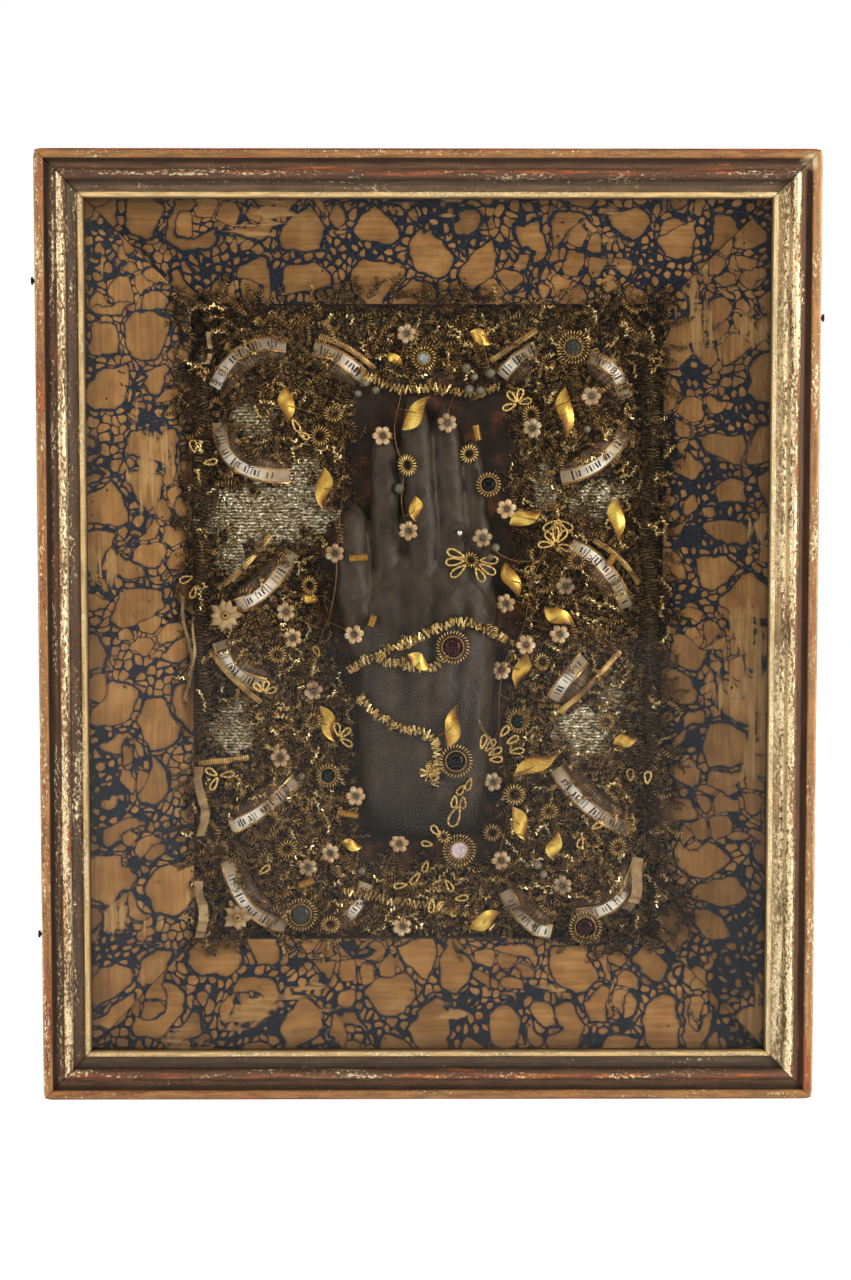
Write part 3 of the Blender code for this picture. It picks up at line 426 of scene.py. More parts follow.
def worn_gilding():
    """Old gilding toned brown: each zone's colour, with painted shade and highlight in some zones, rubbed to
    red bole, with bright specks of gold.
    """
    paint = Paint("worn_gilding")

    def streaks(scale, offset, detail, roughness):
        """Noise by the place along and across a rail, in metres."""
        sockets = {"Vector": paint.attribute("run", "Vector"), "Location": offset, "Scale": scale}
        return paint.noise(paint.add("Mapping", sockets), 1.0, detail, roughness)

    streak = streaks((30, 420, 1), (0, 0, 0), 6, 0.66)
    patch = streaks((14, 120, 1), (3, 1, 0), 3, 0.55)
    dirt = streaks((60, 420, 1), (0, 5, 0), 6, 0.7)
    dots = streaks((420, 800, 1), (7, 0, 0), 6, 0.8)
    cloud = streaks((26, 160, 1), (2, 9, 0), 2, 0.6)
    grit = paint.grain(1300, 3, 0.7)
    wear = paint.attribute("tone") - 0.5
    bole = paint.fade(0.6 * streak + 0.4 * patch + 0.3 * (grit - 0.5) + wear, 0.53, 0.60)
    bare = paint.ramp(streak, (0.3, 0.5, 0.7), (66, 26, 10), (118, 52, 20), (182, 100, 40))
    colour = paint.mix(bole, paint.attribute("zone", "Color"), bare)
    colour = paint.vary(colour, dirt, 0.3, 0.7, 0.5, 1.25)
    fleck = paint.fade(dots + 0.5 * (cloud - 0.5) + (paint.attribute("speck") - 0.5), 0.53, 0.58)
    gilt = paint.ramp(grit, (0.35, 0.52, 0.68), (190, 158, 104), (238, 218, 174), (252, 244, 222))
    colour = paint.mix(fleck, colour, gilt)
    colour = paint.vary(colour, paint.grain(700, 2, 0.6), 0.26, 0.36, 0.45, 1.0)
    return paint.set(
        Base_Color=colour,
        Metallic=paint.math("MAXIMUM", paint.attribute("metal") * (1.0 - bole), 0.75 * fleck),
        Roughness=paint.fade(fleck, 0.0, 1.0, 0.55, 0.34),
        Normal=paint.bump(-0.6 * bole + 0.8 * grit + 0.5 * fleck, 0.0004, 0.7),
    )


LARGE_CELLS, MIDDLE_CELLS, SMALL_CELLS = 43, 92, 240  # of the marbling, in a metre
PAPER_SHADE_BAND = 0.014  # the shaded edge that meets the glass


def marbled_paper(side, offset):
    """Marbled paper: rounded tan cells between indigo veins and pools, with fibres along the board, and
    painted shade along its outer edge under the frame.
    """
    paint = Paint(f"marbled_{side}")
    upright = side in ("left", "right")

    def fibres(along, deep, across, detail, roughness):
        """Noise as fine as told along the board, into it and across it."""
        return paint.grain((across, deep, along) if upright else (along, deep, across), detail, roughness)

    def rounded_cells(scale):
        """How far inside a rounded cell a point lies, below 0 outside, and the cell's own shade."""
        sockets = {"Vector": warped, "Scale": scale}
        near, far, shade = (
            paint.add("TexVoronoi", sockets, out, feature=feature, voronoi_dimensions="2D")
            for out, feature in (("Distance", "F1"), ("Distance", "F2"), ("Color", "F1"))
        )
        shrink = 0.13 * paint.add("SeparateColor", {"Color": shade}, "Green")
        return paint.math("SMOOTH_MIN", far - near - (vein + shrink), reach - near, 0.16), shade

    flat = paint.spot(offset=offset, turn=(-math.pi / 2, 0, 0))
    warped = paint.shift(paint.shift(paint.shift(flat, 24, 0.012), 95, 0.0058), 380, 0.0011)
    pool = paint.fade(paint.noise(flat, 21, 3, 0.6), 0.44, 0.68)
    vein = 0.085 + 0.26 * pool
    reach = 0.57 - 0.21 * pool
    large, large_shade = rounded_cells(LARGE_CELLS)
    middle, middle_shade = rounded_cells(MIDDLE_CELLS)
    small, _ = rounded_cells(SMALL_CELLS)
    zone = 5.0 * (paint.noise(warped, 30, 1, 0.5) - 0.44)
    big = paint.math("SMOOTH_MIN", large, zone, 0.1)
    fine = paint.math("SMOOTH_MIN", middle, -0.03 - zone, 0.1)
    island = paint.math("MAXIMUM", big, fine)
    island = paint.math("MAXIMUM", island, paint.math("MINIMUM", small, -0.055 - island))

    fibre = fibres(36, 900, 420, 5, 0.65)
    cloud = paint.noise(flat, 70, 4, 0.6)
    shade = paint.mix(paint.fade(zone, -0.01, 0.01), middle_shade, large_shade)
    rings = paint.math("SINE", 95.0 * (island + 0.12 * fibre))
    tan = paint.ramp(cloud, (0.3, 0.5, 0.7), (132, 92, 48), (152, 109, 59), (170, 128, 76))
    tan = paint.vary(tan, fibre, 0.3, 0.7, 0.74, 1.12)
    tan = paint.vary(tan, paint.add("SeparateColor", {"Color": shade}), 0.0, 1.0, 0.80, 1.08)
    tan = paint.vary(tan, island, 0.0, 0.10, 0.72, 1.0)
    tan = paint.vary(tan, rings, 0.80, 1.0, 1.0, 0.88)
    froth = paint.noise(flat, 800, 3, 0.7)
    deep = paint.ramp(froth, (0.35, 0.56, 0.74), (9, 11, 20), (18, 25, 40), (52, 68, 82))
    colour = paint.mix(paint.fade(island, -0.004, 0.012), deep, tan)

    streaks = paint.fade(fibres(30, 1, 260, 3, 0.6), 0.3, 0.7, 0.86, 1.1)
    rubbed = paint.noise(paint.shift(flat, 60, 0.01), 19, 2, 0.6) * streaks
    pale = paint.ramp(fibre, (0.3, 0.6), (132, 96, 52), (178, 140, 88))
    colour = paint.mix(paint.fade(rubbed, 0.60, 0.66, 0.0, 0.86), colour, pale)
    specks = paint.fade(paint.noise(flat, 330, 1, 0.5), 0.74, 0.77)
    colour = paint.mix(specks, colour, srgb((40, 24, 16)))
    centred = paint.spot(offset=(0, 0, -HEIGHT / 2))
    away = paint.math("ABSOLUTE", paint.add("SeparateXYZ", {"Vector": centred}, "X" if upright else "Z"))
    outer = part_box("splay_right")[1].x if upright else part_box("splay_top")[1].z - HEIGHT / 2
    # The paper darkens towards its outer edge, under the frame: painted shade.
    return paint.set(
        Base_Color=paint.vary(colour, away, outer - PAPER_SHADE_BAND, outer - 0.002, 1.0, 0.5),
        Roughness=0.65,
        Specular_IOR_Level=0.25,
        Normal=paint.bump(0.5 * fibre + 1.5 * cloud, 0.0006, 0.5),
    )


def old_wood(name, grain_axis, colours):
    """Stained boards with the grain along one axis."""
    paint = Paint(name)
    scale = {"x": (6, 210, 210), "z": (210, 210, 6)}[grain_axis]
    grain = paint.grain(scale, 5, 0.62, 0.6)
    pores = paint.grain(tuple(4 * s for s in scale), 2, 0.6)
    colour = paint.ramp(grain, (0.36, 0.52, 0.68), *colours)
    colour = paint.vary(colour, paint.grain(22, 3, 0.6), 0.3, 0.7, 0.7, 1.15)
    colour = paint.vary(colour, pores, 0.32, 0.45, 0.65, 1.0)
    return paint.set(Base_Color=colour, Roughness=0.68, Normal=paint.bump(grain + 0.6 * pores, 0.0005, 0.6))


def glass():
    """Old clear glass, see-through with a faint sheen."""
    paint = Paint("clear_glass")
    paint.set(Base_Color=srgb((30, 34, 32)), Roughness=0.05, Specular_IOR_Level=1.0)
    return paint.set(Alpha=0.08, IOR=1.5)


def foil(name, dark, middle, bright, roughness):
    """Metal foil or wire whose tone runs from dark to bright, a little grimed."""
    paint = Paint(name)
    grime = paint.grain(420, 4, 0.65)
    tone = paint.attribute("tone") + 0.7 * (grime - 0.5)
    return paint.set(
        Base_Color=paint.ramp(tone, (0.05, 0.5, 0.95), dark, middle, bright),
        Metallic=paint.fade(tone, 0.1, 0.9, 0.2, 0.7),
        Roughness=roughness,
        Normal=paint.bump(grime, 0.0002, 0.3),
    )


def lame():
    """The padding's cloth: silver lamé in patches, red-brown cloth in the middle, dark brown between."""
    paint = Paint("lame_cloth")
    broken = paint.grain((160, 200, 460), 4, 0.68)
    share = paint.fade(paint.attribute("tone") + (broken - 0.5), 0.42, 0.62)
    bands = {"Vector": paint.spot(), "Scale": 210, "Distortion": 1.0, "Detail": 2.0, "Detail Scale": 2.0}
    ribs = paint.add("TexWave", bands, "Fac", bands_direction="Z")
    glints = paint.grain((500, 400, 1200), 3, 0.7)
    silver = paint.ramp(glints, (0.36, 0.50, 0.64), (88, 74, 50), (164, 146, 108), (255, 248, 222))
    cloud = paint.grain(85, 4, 0.6)
    plain_cloth = paint.ramp(cloud, (0.3, 0.52, 0.72), (26, 18, 12), (44, 29, 19), (104, 56, 32))

    # Where the frizz lies, the cloth is painted with curls of wire over near-black: partly a wire pattern,
    # partly painted highlight on the curls and painted shade between them.
    curl_cells = {"Vector": paint.shift(paint.spot(), 300, 0.002), "Scale": 560}
    rings = paint.math("ABSOLUTE", paint.add("TexVoronoi", curl_cells, "Distance") - 0.36)
    ring_tone = paint.grain(260, 3, 0.7)
    curls = paint.ramp(ring_tone, (0.35, 0.52, 0.68), (60, 42, 24), (112, 84, 46), (196, 160, 96))
    curls = paint.mix(paint.fade(rings, 0.05, 0.20), curls, srgb((26, 18, 11)))
    frizzed = paint.attribute("speck")
    colour = paint.mix(share, paint.mix(frizzed, plain_cloth, curls), silver)
    colour = paint.mix(share, colour, paint.vary(colour, ribs, 0.1, 0.7, 0.5, 1.0))
    height = ribs * share + 0.6 * paint.grain(1500, 2, 0.6) - 4.0 * rings * frizzed
    return paint.set(
        Base_Color=colour,
        Metallic=0.85 * share,
        Roughness=paint.fade(share, 0.0, 1.0, 0.75, 0.32),
        Specular_IOR_Level=0.25,
        Normal=paint.bump(height, 0.0004, 0.8),
    )


def hand_plaster():
    """Grey waxed plaster, mottled, with fine streaks along the fingers and a soft sheen, darkened where the
    tone carries painted shade.
    """
    paint = Paint("hand_plaster")
    mottle = paint.grain(110, 5, 0.6)
    streak = paint.grain((600, 600, 40), 3, 0.6)
    colour = paint.ramp(mottle, (0.3, 0.52, 0.74), (42, 33, 24), (58, 46, 35), (78, 64, 50))
    colour = paint.vary(colour, streak, 0.3, 0.7, 0.86, 1.1)
    return paint.set(
        Base_Color=paint.vary(colour, paint.attribute("tone"), 0.0, 1.0, 0.25, 1.0),
        Roughness=paint.fade(mottle, 0.3, 0.7, 0.42, 0.58),
        Specular_IOR_Level=0.3,
        Normal=paint.bump(0.5 * streak + paint.grain(1100, 3, 0.6), 0.00018, 0.35),
    )


def label_paper():
    """Strips of off-white rag paper, greyed towards their ends."""
    paint = Paint("label_paper")
    tone = paint.attribute("tone")
    colour = paint.ramp(tone, (0.1, 0.6, 1.0), (84, 68, 50), (178, 156, 124), (248, 240, 224))
    colour = paint.vary(colour, paint.grain(190, 4, 0.6), 0.3, 0.7, 0.75, 1.08)
    normal = paint.bump(paint.grain(1300, 2, 0.6), 0.0002, 0.4)
    return paint.set(Base_Color=colour, Roughness=0.6, Normal=normal)


def plain(name, colours, scale, roughness, metallic=0.0, by_tone=0.0):
    """A mottled finish through three colours, darker where the tone is low."""
    paint = Paint(name)
    colour = paint.ramp(paint.grain(scale, 4, 0.6), (0.3, 0.5, 0.7), *colours)
    if by_tone:
        colour = paint.vary(colour, paint.attribute("tone"), 0.0, 1.0, 1 - by_tone, 1.0)
    normal = paint.bump(paint.grain(6 * scale, 3, 0.6), 0.0003, 0.6)
    return paint.set(Base_Color=colour, Roughness=roughness, Metallic=metallic, Normal=normal)


def stone_glass():
    """Foiled paste stones, each with its own tint."""
    paint = Paint("stone_glass")
    colour = paint.vary(paint.attribute("zone", "Color"), paint.grain(700, 2, 0.5), 0.3, 0.7, 0.6, 1.2)
    return paint.set(Base_Color=colour, Roughness=0.1, Specular_IOR_Level=0.15)


gilding = worn_gilding()
gold_foil = foil("gold_foil", (84, 50, 18), (186, 134, 46), (252, 220, 112), 0.38)
gold_wire = foil("gold_wire", (34, 20, 9), (146, 104, 48), (242, 208, 128), 0.36)
fleck_foil = foil("fleck_foil", (96, 68, 30), (196, 154, 82), (255, 238, 176), 0.26)
frizz_wire = foil("frizz_wire", (36, 22, 12), (128, 90, 48), (232, 190, 120), 0.42)
dark_wire = foil("dark_wire", (28, 20, 12), (90, 68, 42), (186, 156, 106), 0.45)
cloth = lame()
plaster = hand_plaster()
paper_label = label_paper()
ink = plain("ink", ((14, 12, 10), (20, 17, 14), (40, 33, 26)), 300, 0.6)
silk = plain("silk_roll", ((58, 38, 20), (98, 68, 38), (142, 106, 62)), 240, 0.5, by_tone=0.8)
petal = plain("wax_petal", ((168, 126, 80), (222, 182, 130), (250, 228, 186)), 160, 0.5, by_tone=0.9)
pearl = plain("pearl", ((70, 64, 50), (104, 96, 78), (140, 132, 112)), 130, 0.25)
silver = plain("silver", ((120, 118, 110), (190, 188, 180), (232, 230, 224)), 200, 0.2, 1.0)
straw = plain("straw", ((120, 90, 54), (164, 132, 88), (196, 168, 120)), 150, 0.55, by_tone=0.5)
stones = stone_glass()
iron = plain("nail_iron", ((26, 20, 17), (40, 31, 26), (66, 46, 34)), 600, 0.55, 0.7)
card = plain("tray_card", ((40, 28, 20), (60, 44, 32), (84, 64, 46)), 90, 0.8)


# Frame rails

RAIL_WIDTH = 0.0212
RAIL_THICK = FRAME_BACK_Y - FRONT_Y
BEAD_WIDTH = 0.0043
BEAD_OUTER_ROUND = 0.0016
BEAD_INNER_ROUND = 0.0009
QUIRK_DEEP = 0.0036
QUIRK_WIDTH = 0.0011
HOLLOW_WIDTH = 0.0044
TORUS_RADIUS = 0.0026
TORUS_START = 30
TORUS_DROP = 0.0009
COVE_STEP = 0.0009
COVE_DEEP = 0.0026
FILLET_WIDTH = 0.0030
FILLET_STEP = 0.0007
LIP_THICK = 0.0046
REBATE_WIDTH = 0.0057
MITRE_GAP = 0.75 * GAP
RAIL_STATIONS = 90
RAIL_RIPPLE = 0.00016

ZONES = {  # colour, wear, metallic share and share of gold left, on the level rails
    "back": ((104, 74, 44), 0.25, 0.0, 0.0),
    "side": ((132, 92, 52), 0.50, 0.1, 0.0),
    "edge": ((146, 96, 52), 0.59, 0.1, 0.38),
    "bead": ((140, 98, 52), 0.51, 0.1, 0.42),
    # The quirk's dark colour is painted shade in its narrow groove.
    "quirk": ((50, 33, 20), 0.20, 0.0, 0.1),
    "hollow": ((86, 60, 40), 0.44, 0.1, 0.40),
    "rise": ((84, 58, 38), 0.50, 0.2, 0.43),
    "crest": ((84, 56, 37), 0.51, 0.3, 0.46),
    "fall": ((80, 56, 37), 0.44, 0.2, 0.43),
    "cove": ((68, 48, 33), 0.38, 0.2, 0.42),
    "cove_edge": ((94, 72, 45), 0.38, 0.2, 0.43),
    "fillet": ((206, 174, 122), 0.30, 0.25, 0.50),
    # The lip's dark colour is partly painted shade under the sight edge.
    "lip": ((44, 30, 18), 0.1, 0.0, 0.0),
}
# The upright rails' paler colours and larger share of gold left are partly painted highlight, for light
# falling from the sides; the right rail's most, down to a paler quirk.
SIDE_ZONES = {  # where a side differs
    "bottom": {
        "crest": ((100, 70, 46), 0.55, 0.3, 0.46),
        "cove": ((52, 37, 25), 0.34, 0.2, 0.37),
        "cove_edge": ((74, 54, 33), 0.38, 0.2, 0.38),
    },
    "left": {
        "edge": ((196, 154, 104), 0.47, 0.1, 0.47),
        "bead": ((150, 104, 58), 0.52, 0.1, 0.46),
        "hollow": ((86, 60, 40), 0.46, 0.2, 0.47),
        "crest": ((132, 94, 62), 0.52, 0.3, 0.57),
        "fall": ((98, 70, 44), 0.46, 0.3, 0.55),
        "cove": ((66, 46, 30), 0.42, 0.2, 0.46),
        "cove_edge": ((82, 58, 36), 0.42, 0.3, 0.47),
    },
    "right": {
        "edge": ((190, 150, 100), 0.48, 0.1, 0.49),
        "bead": ((156, 112, 66), 0.51, 0.1, 0.47),
        "quirk": ((72, 46, 28), 0.30, 0.0, 0.20),
        "hollow": ((84, 54, 34), 0.46, 0.2, 0.38),
        "rise": ((120, 86, 54), 0.48, 0.3, 0.52),
        "crest": ((140, 104, 68), 0.47, 0.4, 0.60),
        "fall": ((106, 76, 48), 0.48, 0.3, 0.56),
        "cove": ((122, 94, 62), 0.44, 0.3, 0.58),
        "cove_edge": ((176, 146, 104), 0.42, 0.3, 0.57),
        "fillet": ((216, 190, 142), 0.30, 0.25, 0.55),
    },
}


def arc(centre, radius, start, end, steps):
    """Points of an arc in a section, angles in degrees."""
    angles = np.radians(np.linspace(start, end, steps + 1))
    return [(centre[0] + radius * math.cos(a), centre[1] + radius * math.sin(a)) for a in angles]


def straight(start, end, steps):
    """Points from a start, which is left out, to an end."""
    return [tuple(np.add(start, np.subtract(end, start) * i / steps)) for i in range(1, steps + 1)]


def moulding():
    """The rail's outline as (inset, level, zone), from the back of the outer edge round to the rebate."""
    torus_middle = BEAD_WIDTH + HOLLOW_WIDTH + TORUS_RADIUS * math.cos(math.radians(TORUS_START))
    torus_level = -TORUS_DROP - TORUS_RADIUS
    torus = (torus_middle, torus_level)
    cove_start = torus_middle + TORUS_RADIUS
    cove_end = RAIL_WIDTH - FILLET_WIDTH
    cove_top = torus_level - COVE_STEP
    fillet_level = cove_top - COVE_DEEP + FILLET_STEP
    lip_level = fillet_level - LIP_THICK
    quirk_end = (BEAD_WIDTH + QUIRK_WIDTH, -QUIRK_DEEP)
    torus_foot = arc(torus, TORUS_RADIUS, 180 - TORUS_START, 180 - TORUS_START, 0)[0]
    cove = [
        (cove_start + (cove_end - cove_start) * (1 - math.cos(a)), cove_top - COVE_DEEP * math.sin(a))
        for a in np.radians(np.linspace(0, 90, 13))
    ]
    rebate_inset = RAIL_WIDTH - REBATE_WIDTH
    stretches = (
        ("side", straight((0, -RAIL_THICK), (0, -BEAD_OUTER_ROUND), 10)),
        ("edge", arc((BEAD_OUTER_ROUND, -BEAD_OUTER_ROUND), BEAD_OUTER_ROUND, 172, 124, 3)),
        ("bead", arc((BEAD_OUTER_ROUND, -BEAD_OUTER_ROUND), BEAD_OUTER_ROUND, 108, 90, 1)),
        ("bead", arc((BEAD_WIDTH - BEAD_INNER_ROUND, -BEAD_INNER_ROUND), BEAD_INNER_ROUND, 90, 0, 4)),
        ("quirk", [(BEAD_WIDTH, -QUIRK_DEEP * 0.6), (BEAD_WIDTH, -QUIRK_DEEP), quirk_end]),
        ("hollow", straight(quirk_end, torus_foot, 4)),
        ("rise", arc(torus, TORUS_RADIUS, 142, 118, 3)),
        ("crest", arc(torus, TORUS_RADIUS, 108, 70, 5)),
        ("fall", arc(torus, TORUS_RADIUS, 58, 0, 5)),
        ("cove", cove[:8]),
        ("cove_edge", cove[8:]),
        ("fillet", straight((cove_end, fillet_level), (RAIL_WIDTH - FILLET_STEP, fillet_level), 4)),
        ("lip", straight((RAIL_WIDTH, fillet_level - FILLET_STEP), (RAIL_WIDTH, lip_level), 2)),
        ("lip", straight((RAIL_WIDTH, lip_level), (rebate_inset, lip_level), 2)),
        ("back", straight((rebate_inset, lip_level), (rebate_inset, -RAIL_THICK), 3)),
        ("back", straight((rebate_inset, -RAIL_THICK), (0, -RAIL_THICK), 3)),
    )
    return [(inset, level, zone) for zone, points in stretches for inset, level in points]


SIDES = {  # start corner and direction of each side, going round, with the way inwards
    "bottom": ((-1, 0), (1, 0), (0, 1)),
    "right": ((1, 0), (0, 1), (-1, 0)),
    "top": ((1, 1), (-1, 0), (0, -1)),
    "left": ((-1, 1), (0, -1), (1, 0)),
}
CHIP_PLACE = (0.1700, 0.4235)  # the bead's chip at the top right corner
CHIP_RADIUS = 0.0034
CHIP_DEEP = 0.0011
GESSO = srgb((226, 206, 164))
CORNER_LENGTH = 0.0040
CORNER_ROUND = 0.0011


def rail(side, number):
    """One mitred rail, a little uneven along its length and rounded off at its corners."""
    corner, along, inward = (np.array([a, 0, b]) for a, b in SIDES[side])
    length = 2 * HALF_WIDTH if side in ("bottom", "top") else HEIGHT
    section = moulding()
    inset, level = (np.array([row[k] for row in section]) for k in (0, 1))
    even = np.linspace(0, 1, RAIL_STATIONS)
    t = 0.35 * (0.5 - 0.5 * np.cos(np.pi * even)) + 0.65 * even
    runs = inset[None] + MITRE_GAP + (length - 2 * inset - 2 * MITRE_GAP)[None] * t[:, None]
    grid = corner * (HALF_WIDTH, 0, HEIGHT) + runs[..., None] * along + inset[None, :, None] * inward
    grid[..., 1] = FRONT_Y - level
    flat = grid.reshape(-1, 3).copy()
    front = np.tile(level > -RAIL_THICK * 0.7, RAIL_STATIONS)
    uneven = np.abs(ripple(flat, 0.035, number)) + 0.6 * np.abs(ripple(flat, 0.009, number + 7))
    flat[:, 1] += RAIL_RIPPLE * uneven * front
    from_corner = np.minimum(runs, length - runs).ravel()
    rounded = np.clip(1 - from_corner / CORNER_LENGTH, 0, 1) ** 2 * CORNER_ROUND
    flat[:, 1] += rounded * front
    flat += np.tile(inset < 0.002, RAIL_STATIONS)[:, None] * rounded[:, None] * inward * 0.6

    zones = {**ZONES, **SIDE_ZONES.get(side, {})}
    finish = [zones[name] for _, _, name in section]
    colours = np.tile([srgb(row[0]) for row in finish], (RAIL_STATIONS, 1))
    wear, metal, speck = (np.tile([row[k] for row in finish], RAIL_STATIONS) for k in (1, 2, 3))
    away = np.hypot(flat[:, 0] - CHIP_PLACE[0], flat[:, 2] - CHIP_PLACE[1]) / CHIP_RADIUS
    chip = smooth_step(1 - away + 0.25 * ripple(flat, 0.003, 3), 0, 0.5) * front
    flat[:, 1] += CHIP_DEEP * chip
    colours = colours * (1 - chip[:, None]) + np.array(GESSO) * chip[:, None]

    arcs = np.concatenate([[0], np.cumsum(np.hypot(np.diff(inset), np.diff(level)))])
    around = np.tile(arcs, RAIL_STATIONS) + 0.1 * number
    run = np.stack([runs.ravel() + number, around, np.zeros(len(flat))], axis=1)
    batch = Batch()
    batch.add(flat, tube_faces(RAIL_STATIONS, len(section)), wear * (1 - chip), run)
    mesh = batch.piece(f"rail_{side}", gilding, "gilt_wood", (f"frame_{side}",), 50).data
    give(mesh, "zone", "FLOAT_COLOR", colours)
    give(mesh, "metal", "FLOAT", metal * (1 - chip))
    give(mesh, "speck", "FLOAT", speck)


def add_rails():
    """The four rails of the box, each with its own wood."""
    for number, side in enumerate(SIDES):
        rail(side, number)


def paint_nodes(finish, *names):
    """Gives kept CAD nodes a finish."""
    for name in names:
        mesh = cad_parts[name].data
        mesh.materials.clear()
        mesh.materials.append(finish)


def paint_box():
    """The case, the back, the tray, the splay boards, the glass and the nails keep their CAD shapes."""
    dark = ((36, 22, 14), (66, 42, 26), (92, 62, 40))
    pale = ((84, 60, 38), (122, 92, 60), (150, 118, 80))
    paint_nodes(old_wood("case_wood_long", "z", dark), "case_left", "case_right")
    paint_nodes(old_wood("case_wood_short", "x", dark), "case_top", "case_bottom")
    paint_nodes(old_wood("back_wood", "z", pale), "back_board")
    for number, side in enumerate(SIDES):
        offset = (0.31 * number, 0.17 * number, 0.23 * number)
        paint_nodes(marbled_paper(side, offset), f"splay_{side}")
    paint_nodes(card, "relic_tray")
    paint_nodes(glass(), "glass_pane")
    paint_nodes(iron, "nail_1", "nail_2", "nail_3")


def lay_splay():
    """The relief starts with the splay boards round the compartment's mouth."""
    board_low, board_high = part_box("splay_top")
    slope = (board_high.y - board_low.y) / (board_high.z - board_low.z)
    xs, zs = (low + RELIEF_STEP * np.arange(size) for low, size in zip(relief_low, relief_size))
    out_x = np.abs(xs)[:, None] - MOUTH_HALF_X
    out_z = np.abs(zs - HEIGHT / 2)[None] - MOUTH_HEIGHT / 2
    out = np.maximum(out_x, out_z)
    relief[:] = np.where(out > 0, board_high.y - out * slope, relief)


# Padded ground

GROUND_STEP = 0.0019
GROUND_BLUR = 4
FRIZZ_FIELDS = {  # the (left, right, low, high) shares of each field
    "left_upper": ((0.0, 0.335, 0.66, 1.0), (0.0, 0.275, 0.47, 0.66)),
    "left_lower": ((0.0, 0.335, 0.0, 0.40), (0.0, 0.29, 0.40, 0.47)),
    "right_upper": ((0.68, 1.0, 0.66, 1.0), (0.71, 1.0, 0.47, 0.66)),
    "right_lower": ((0.67, 1.0, 0.0, 0.47),),
    "top": ((0.335, 0.68, 0.885, 1.0),),
    "bottom": ((0.335, 0.67, 0.0, 0.115),),
}
LAME_PATCHES = (  # place, half width, half height, brightness
    ((0.150, 0.672), 0.034, 0.0145, 1.0),
    ((0.228, 0.700), 0.012, 0.020, 0.8),
    ((0.084, 0.602), 0.007, 0.010, 0.8),
    ((0.082, 0.337), 0.010, 0.013, 1.0),
    ((0.838, 0.325), 0.016, 0.013, 1.0),
    ((0.135, 0.822), 0.012, 0.010, 0.7),
    ((0.866, 0.695), 0.016, 0.010, 0.7),
    ((0.750, 0.712), 0.008, 0.014, 0.7),
    ((0.900, 0.380), 0.010, 0.014, 0.5),
)
CLOTH_TONE = 0.12


def field_box(left, right, low, high):
    """The x and z of a field's low corner and of its high corner."""
    return *place(left, low), *place(right, high)


def field_share(points):
    """How far inside the frizz's fields each (x, z) point lies, from 0 to 1."""
    share = np.zeros(len(points))
    for field in sum(FRIZZ_FIELDS.values(), ()):
        x0, z0, x1, z1 = field_box(*field)
        x, z = points.T
        inside = np.minimum(np.minimum(x - x0, x1 - x), np.minimum(z - z0, z1 - z))
        share = np.maximum(share, smooth_step(inside, -0.003, 0.003))
    return share


def lame_patches(x, z):
    """For each patch of lamé, how far off its middle the places are, 1 at its rim, and its brightness."""
    for spot, half_x, half_z, bright in LAME_PATCHES:
        patch_x, patch_z = place(*spot)
        yield ((x - patch_x) / half_x) ** 2 + ((z - patch_z) / half_z) ** 2, bright


def felt_ground(inner_x, inner_z):
    """The depth of the CAD padding on a grid, felt at every fourth line and smoothed."""
    coarse = np.array([[cad_depth("padded_ground", x, z) for z in inner_z[::4]] for x in inner_x[::4]])
    depth = np.stack([np.interp(inner_z, inner_z[::4], row) for row in coarse])
    depth = np.stack([np.interp(inner_x, inner_x[::4], column) for column in depth.T]).T
    kernel = np.hanning(2 * GROUND_BLUR + 3)[1:-1]
    kernel /= kernel.sum()
    depth = np.pad(depth, GROUND_BLUR, mode="edge")
    for axis in (0, 1):
        depth = np.apply_along_axis(np.convolve, axis, depth, kernel, "valid")
    return depth


def add_ground():
    """The padding under the relics, felt off its CAD solid, smoothed and covered in folds."""
    low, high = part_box("padded_ground")
    columns, rows = int((high.x - low.x) / GROUND_STEP), int((high.z - low.z) / GROUND_STEP)
    xs, zs = np.linspace(low.x, high.x, columns), np.linspace(low.z, high.z, rows)
    depth = felt_ground(np.clip(xs, low.x + 1e-4, high.x - 1e-4), np.clip(zs, low.z + 1e-4, high.z - 1e-4))
    grid_x, grid_z = np.meshgrid(xs, zs, indexing="ij")
    flat = np.stack([grid_x.ravel(), depth.ravel(), grid_z.ravel()], axis=1)
    places = flat[:, [0, 2]]
    folds = 0.0006 * ripple(places, 0.016, 5) + 0.0003 * np.abs(ripple(places, 0.006, 6))
    rim = np.minimum(MOUTH_HALF_X - np.abs(flat[:, 0]), MOUTH_HEIGHT / 2 - np.abs(flat[:, 2] - HEIGHT / 2))
    flat[:, 1] += folds * smooth_step(rim, 0.001, 0.01)
    tone = np.full(len(flat), CLOTH_TONE)
    ragged = 1.35 + 0.4 * ripple(places, 0.009, 8)
    for away, bright in lame_patches(*places.T):
        tone = np.maximum(tone, bright * np.clip(ragged - away, 0, 1))
    lay(flat)
    batch = Batch()
    batch.add(flat, [grid_faces(columns, rows, around=False)], tone)
    number = np.arange(columns * rows).reshape(columns, rows)
    edge = np.concatenate([number[:, 0], number[-1, 1:], number[-2::-1, -1], number[0, -2:0:-1]])
    skirt = flat[edge]
    back = skirt.copy()
    back[:, 1] = high.y
    batch.add(np.concatenate([skirt, back]), [grid_faces(2, len(edge))], 0.1)
    batch.add(back, [np.arange(len(edge))[None]], 0.1)
    made = batch.piece("ground_cloth", cloth, "padded_cloth", ("padded_ground",))
    points = np.concatenate(batch.points)[:, [0, 2]]
    give(made.data, "speck", "FLOAT", field_share(points + 0.003 * ripple(points, 0.012, 9)[:, None]))


# The hand, in shares of its length from the lower end to the middle fingertip

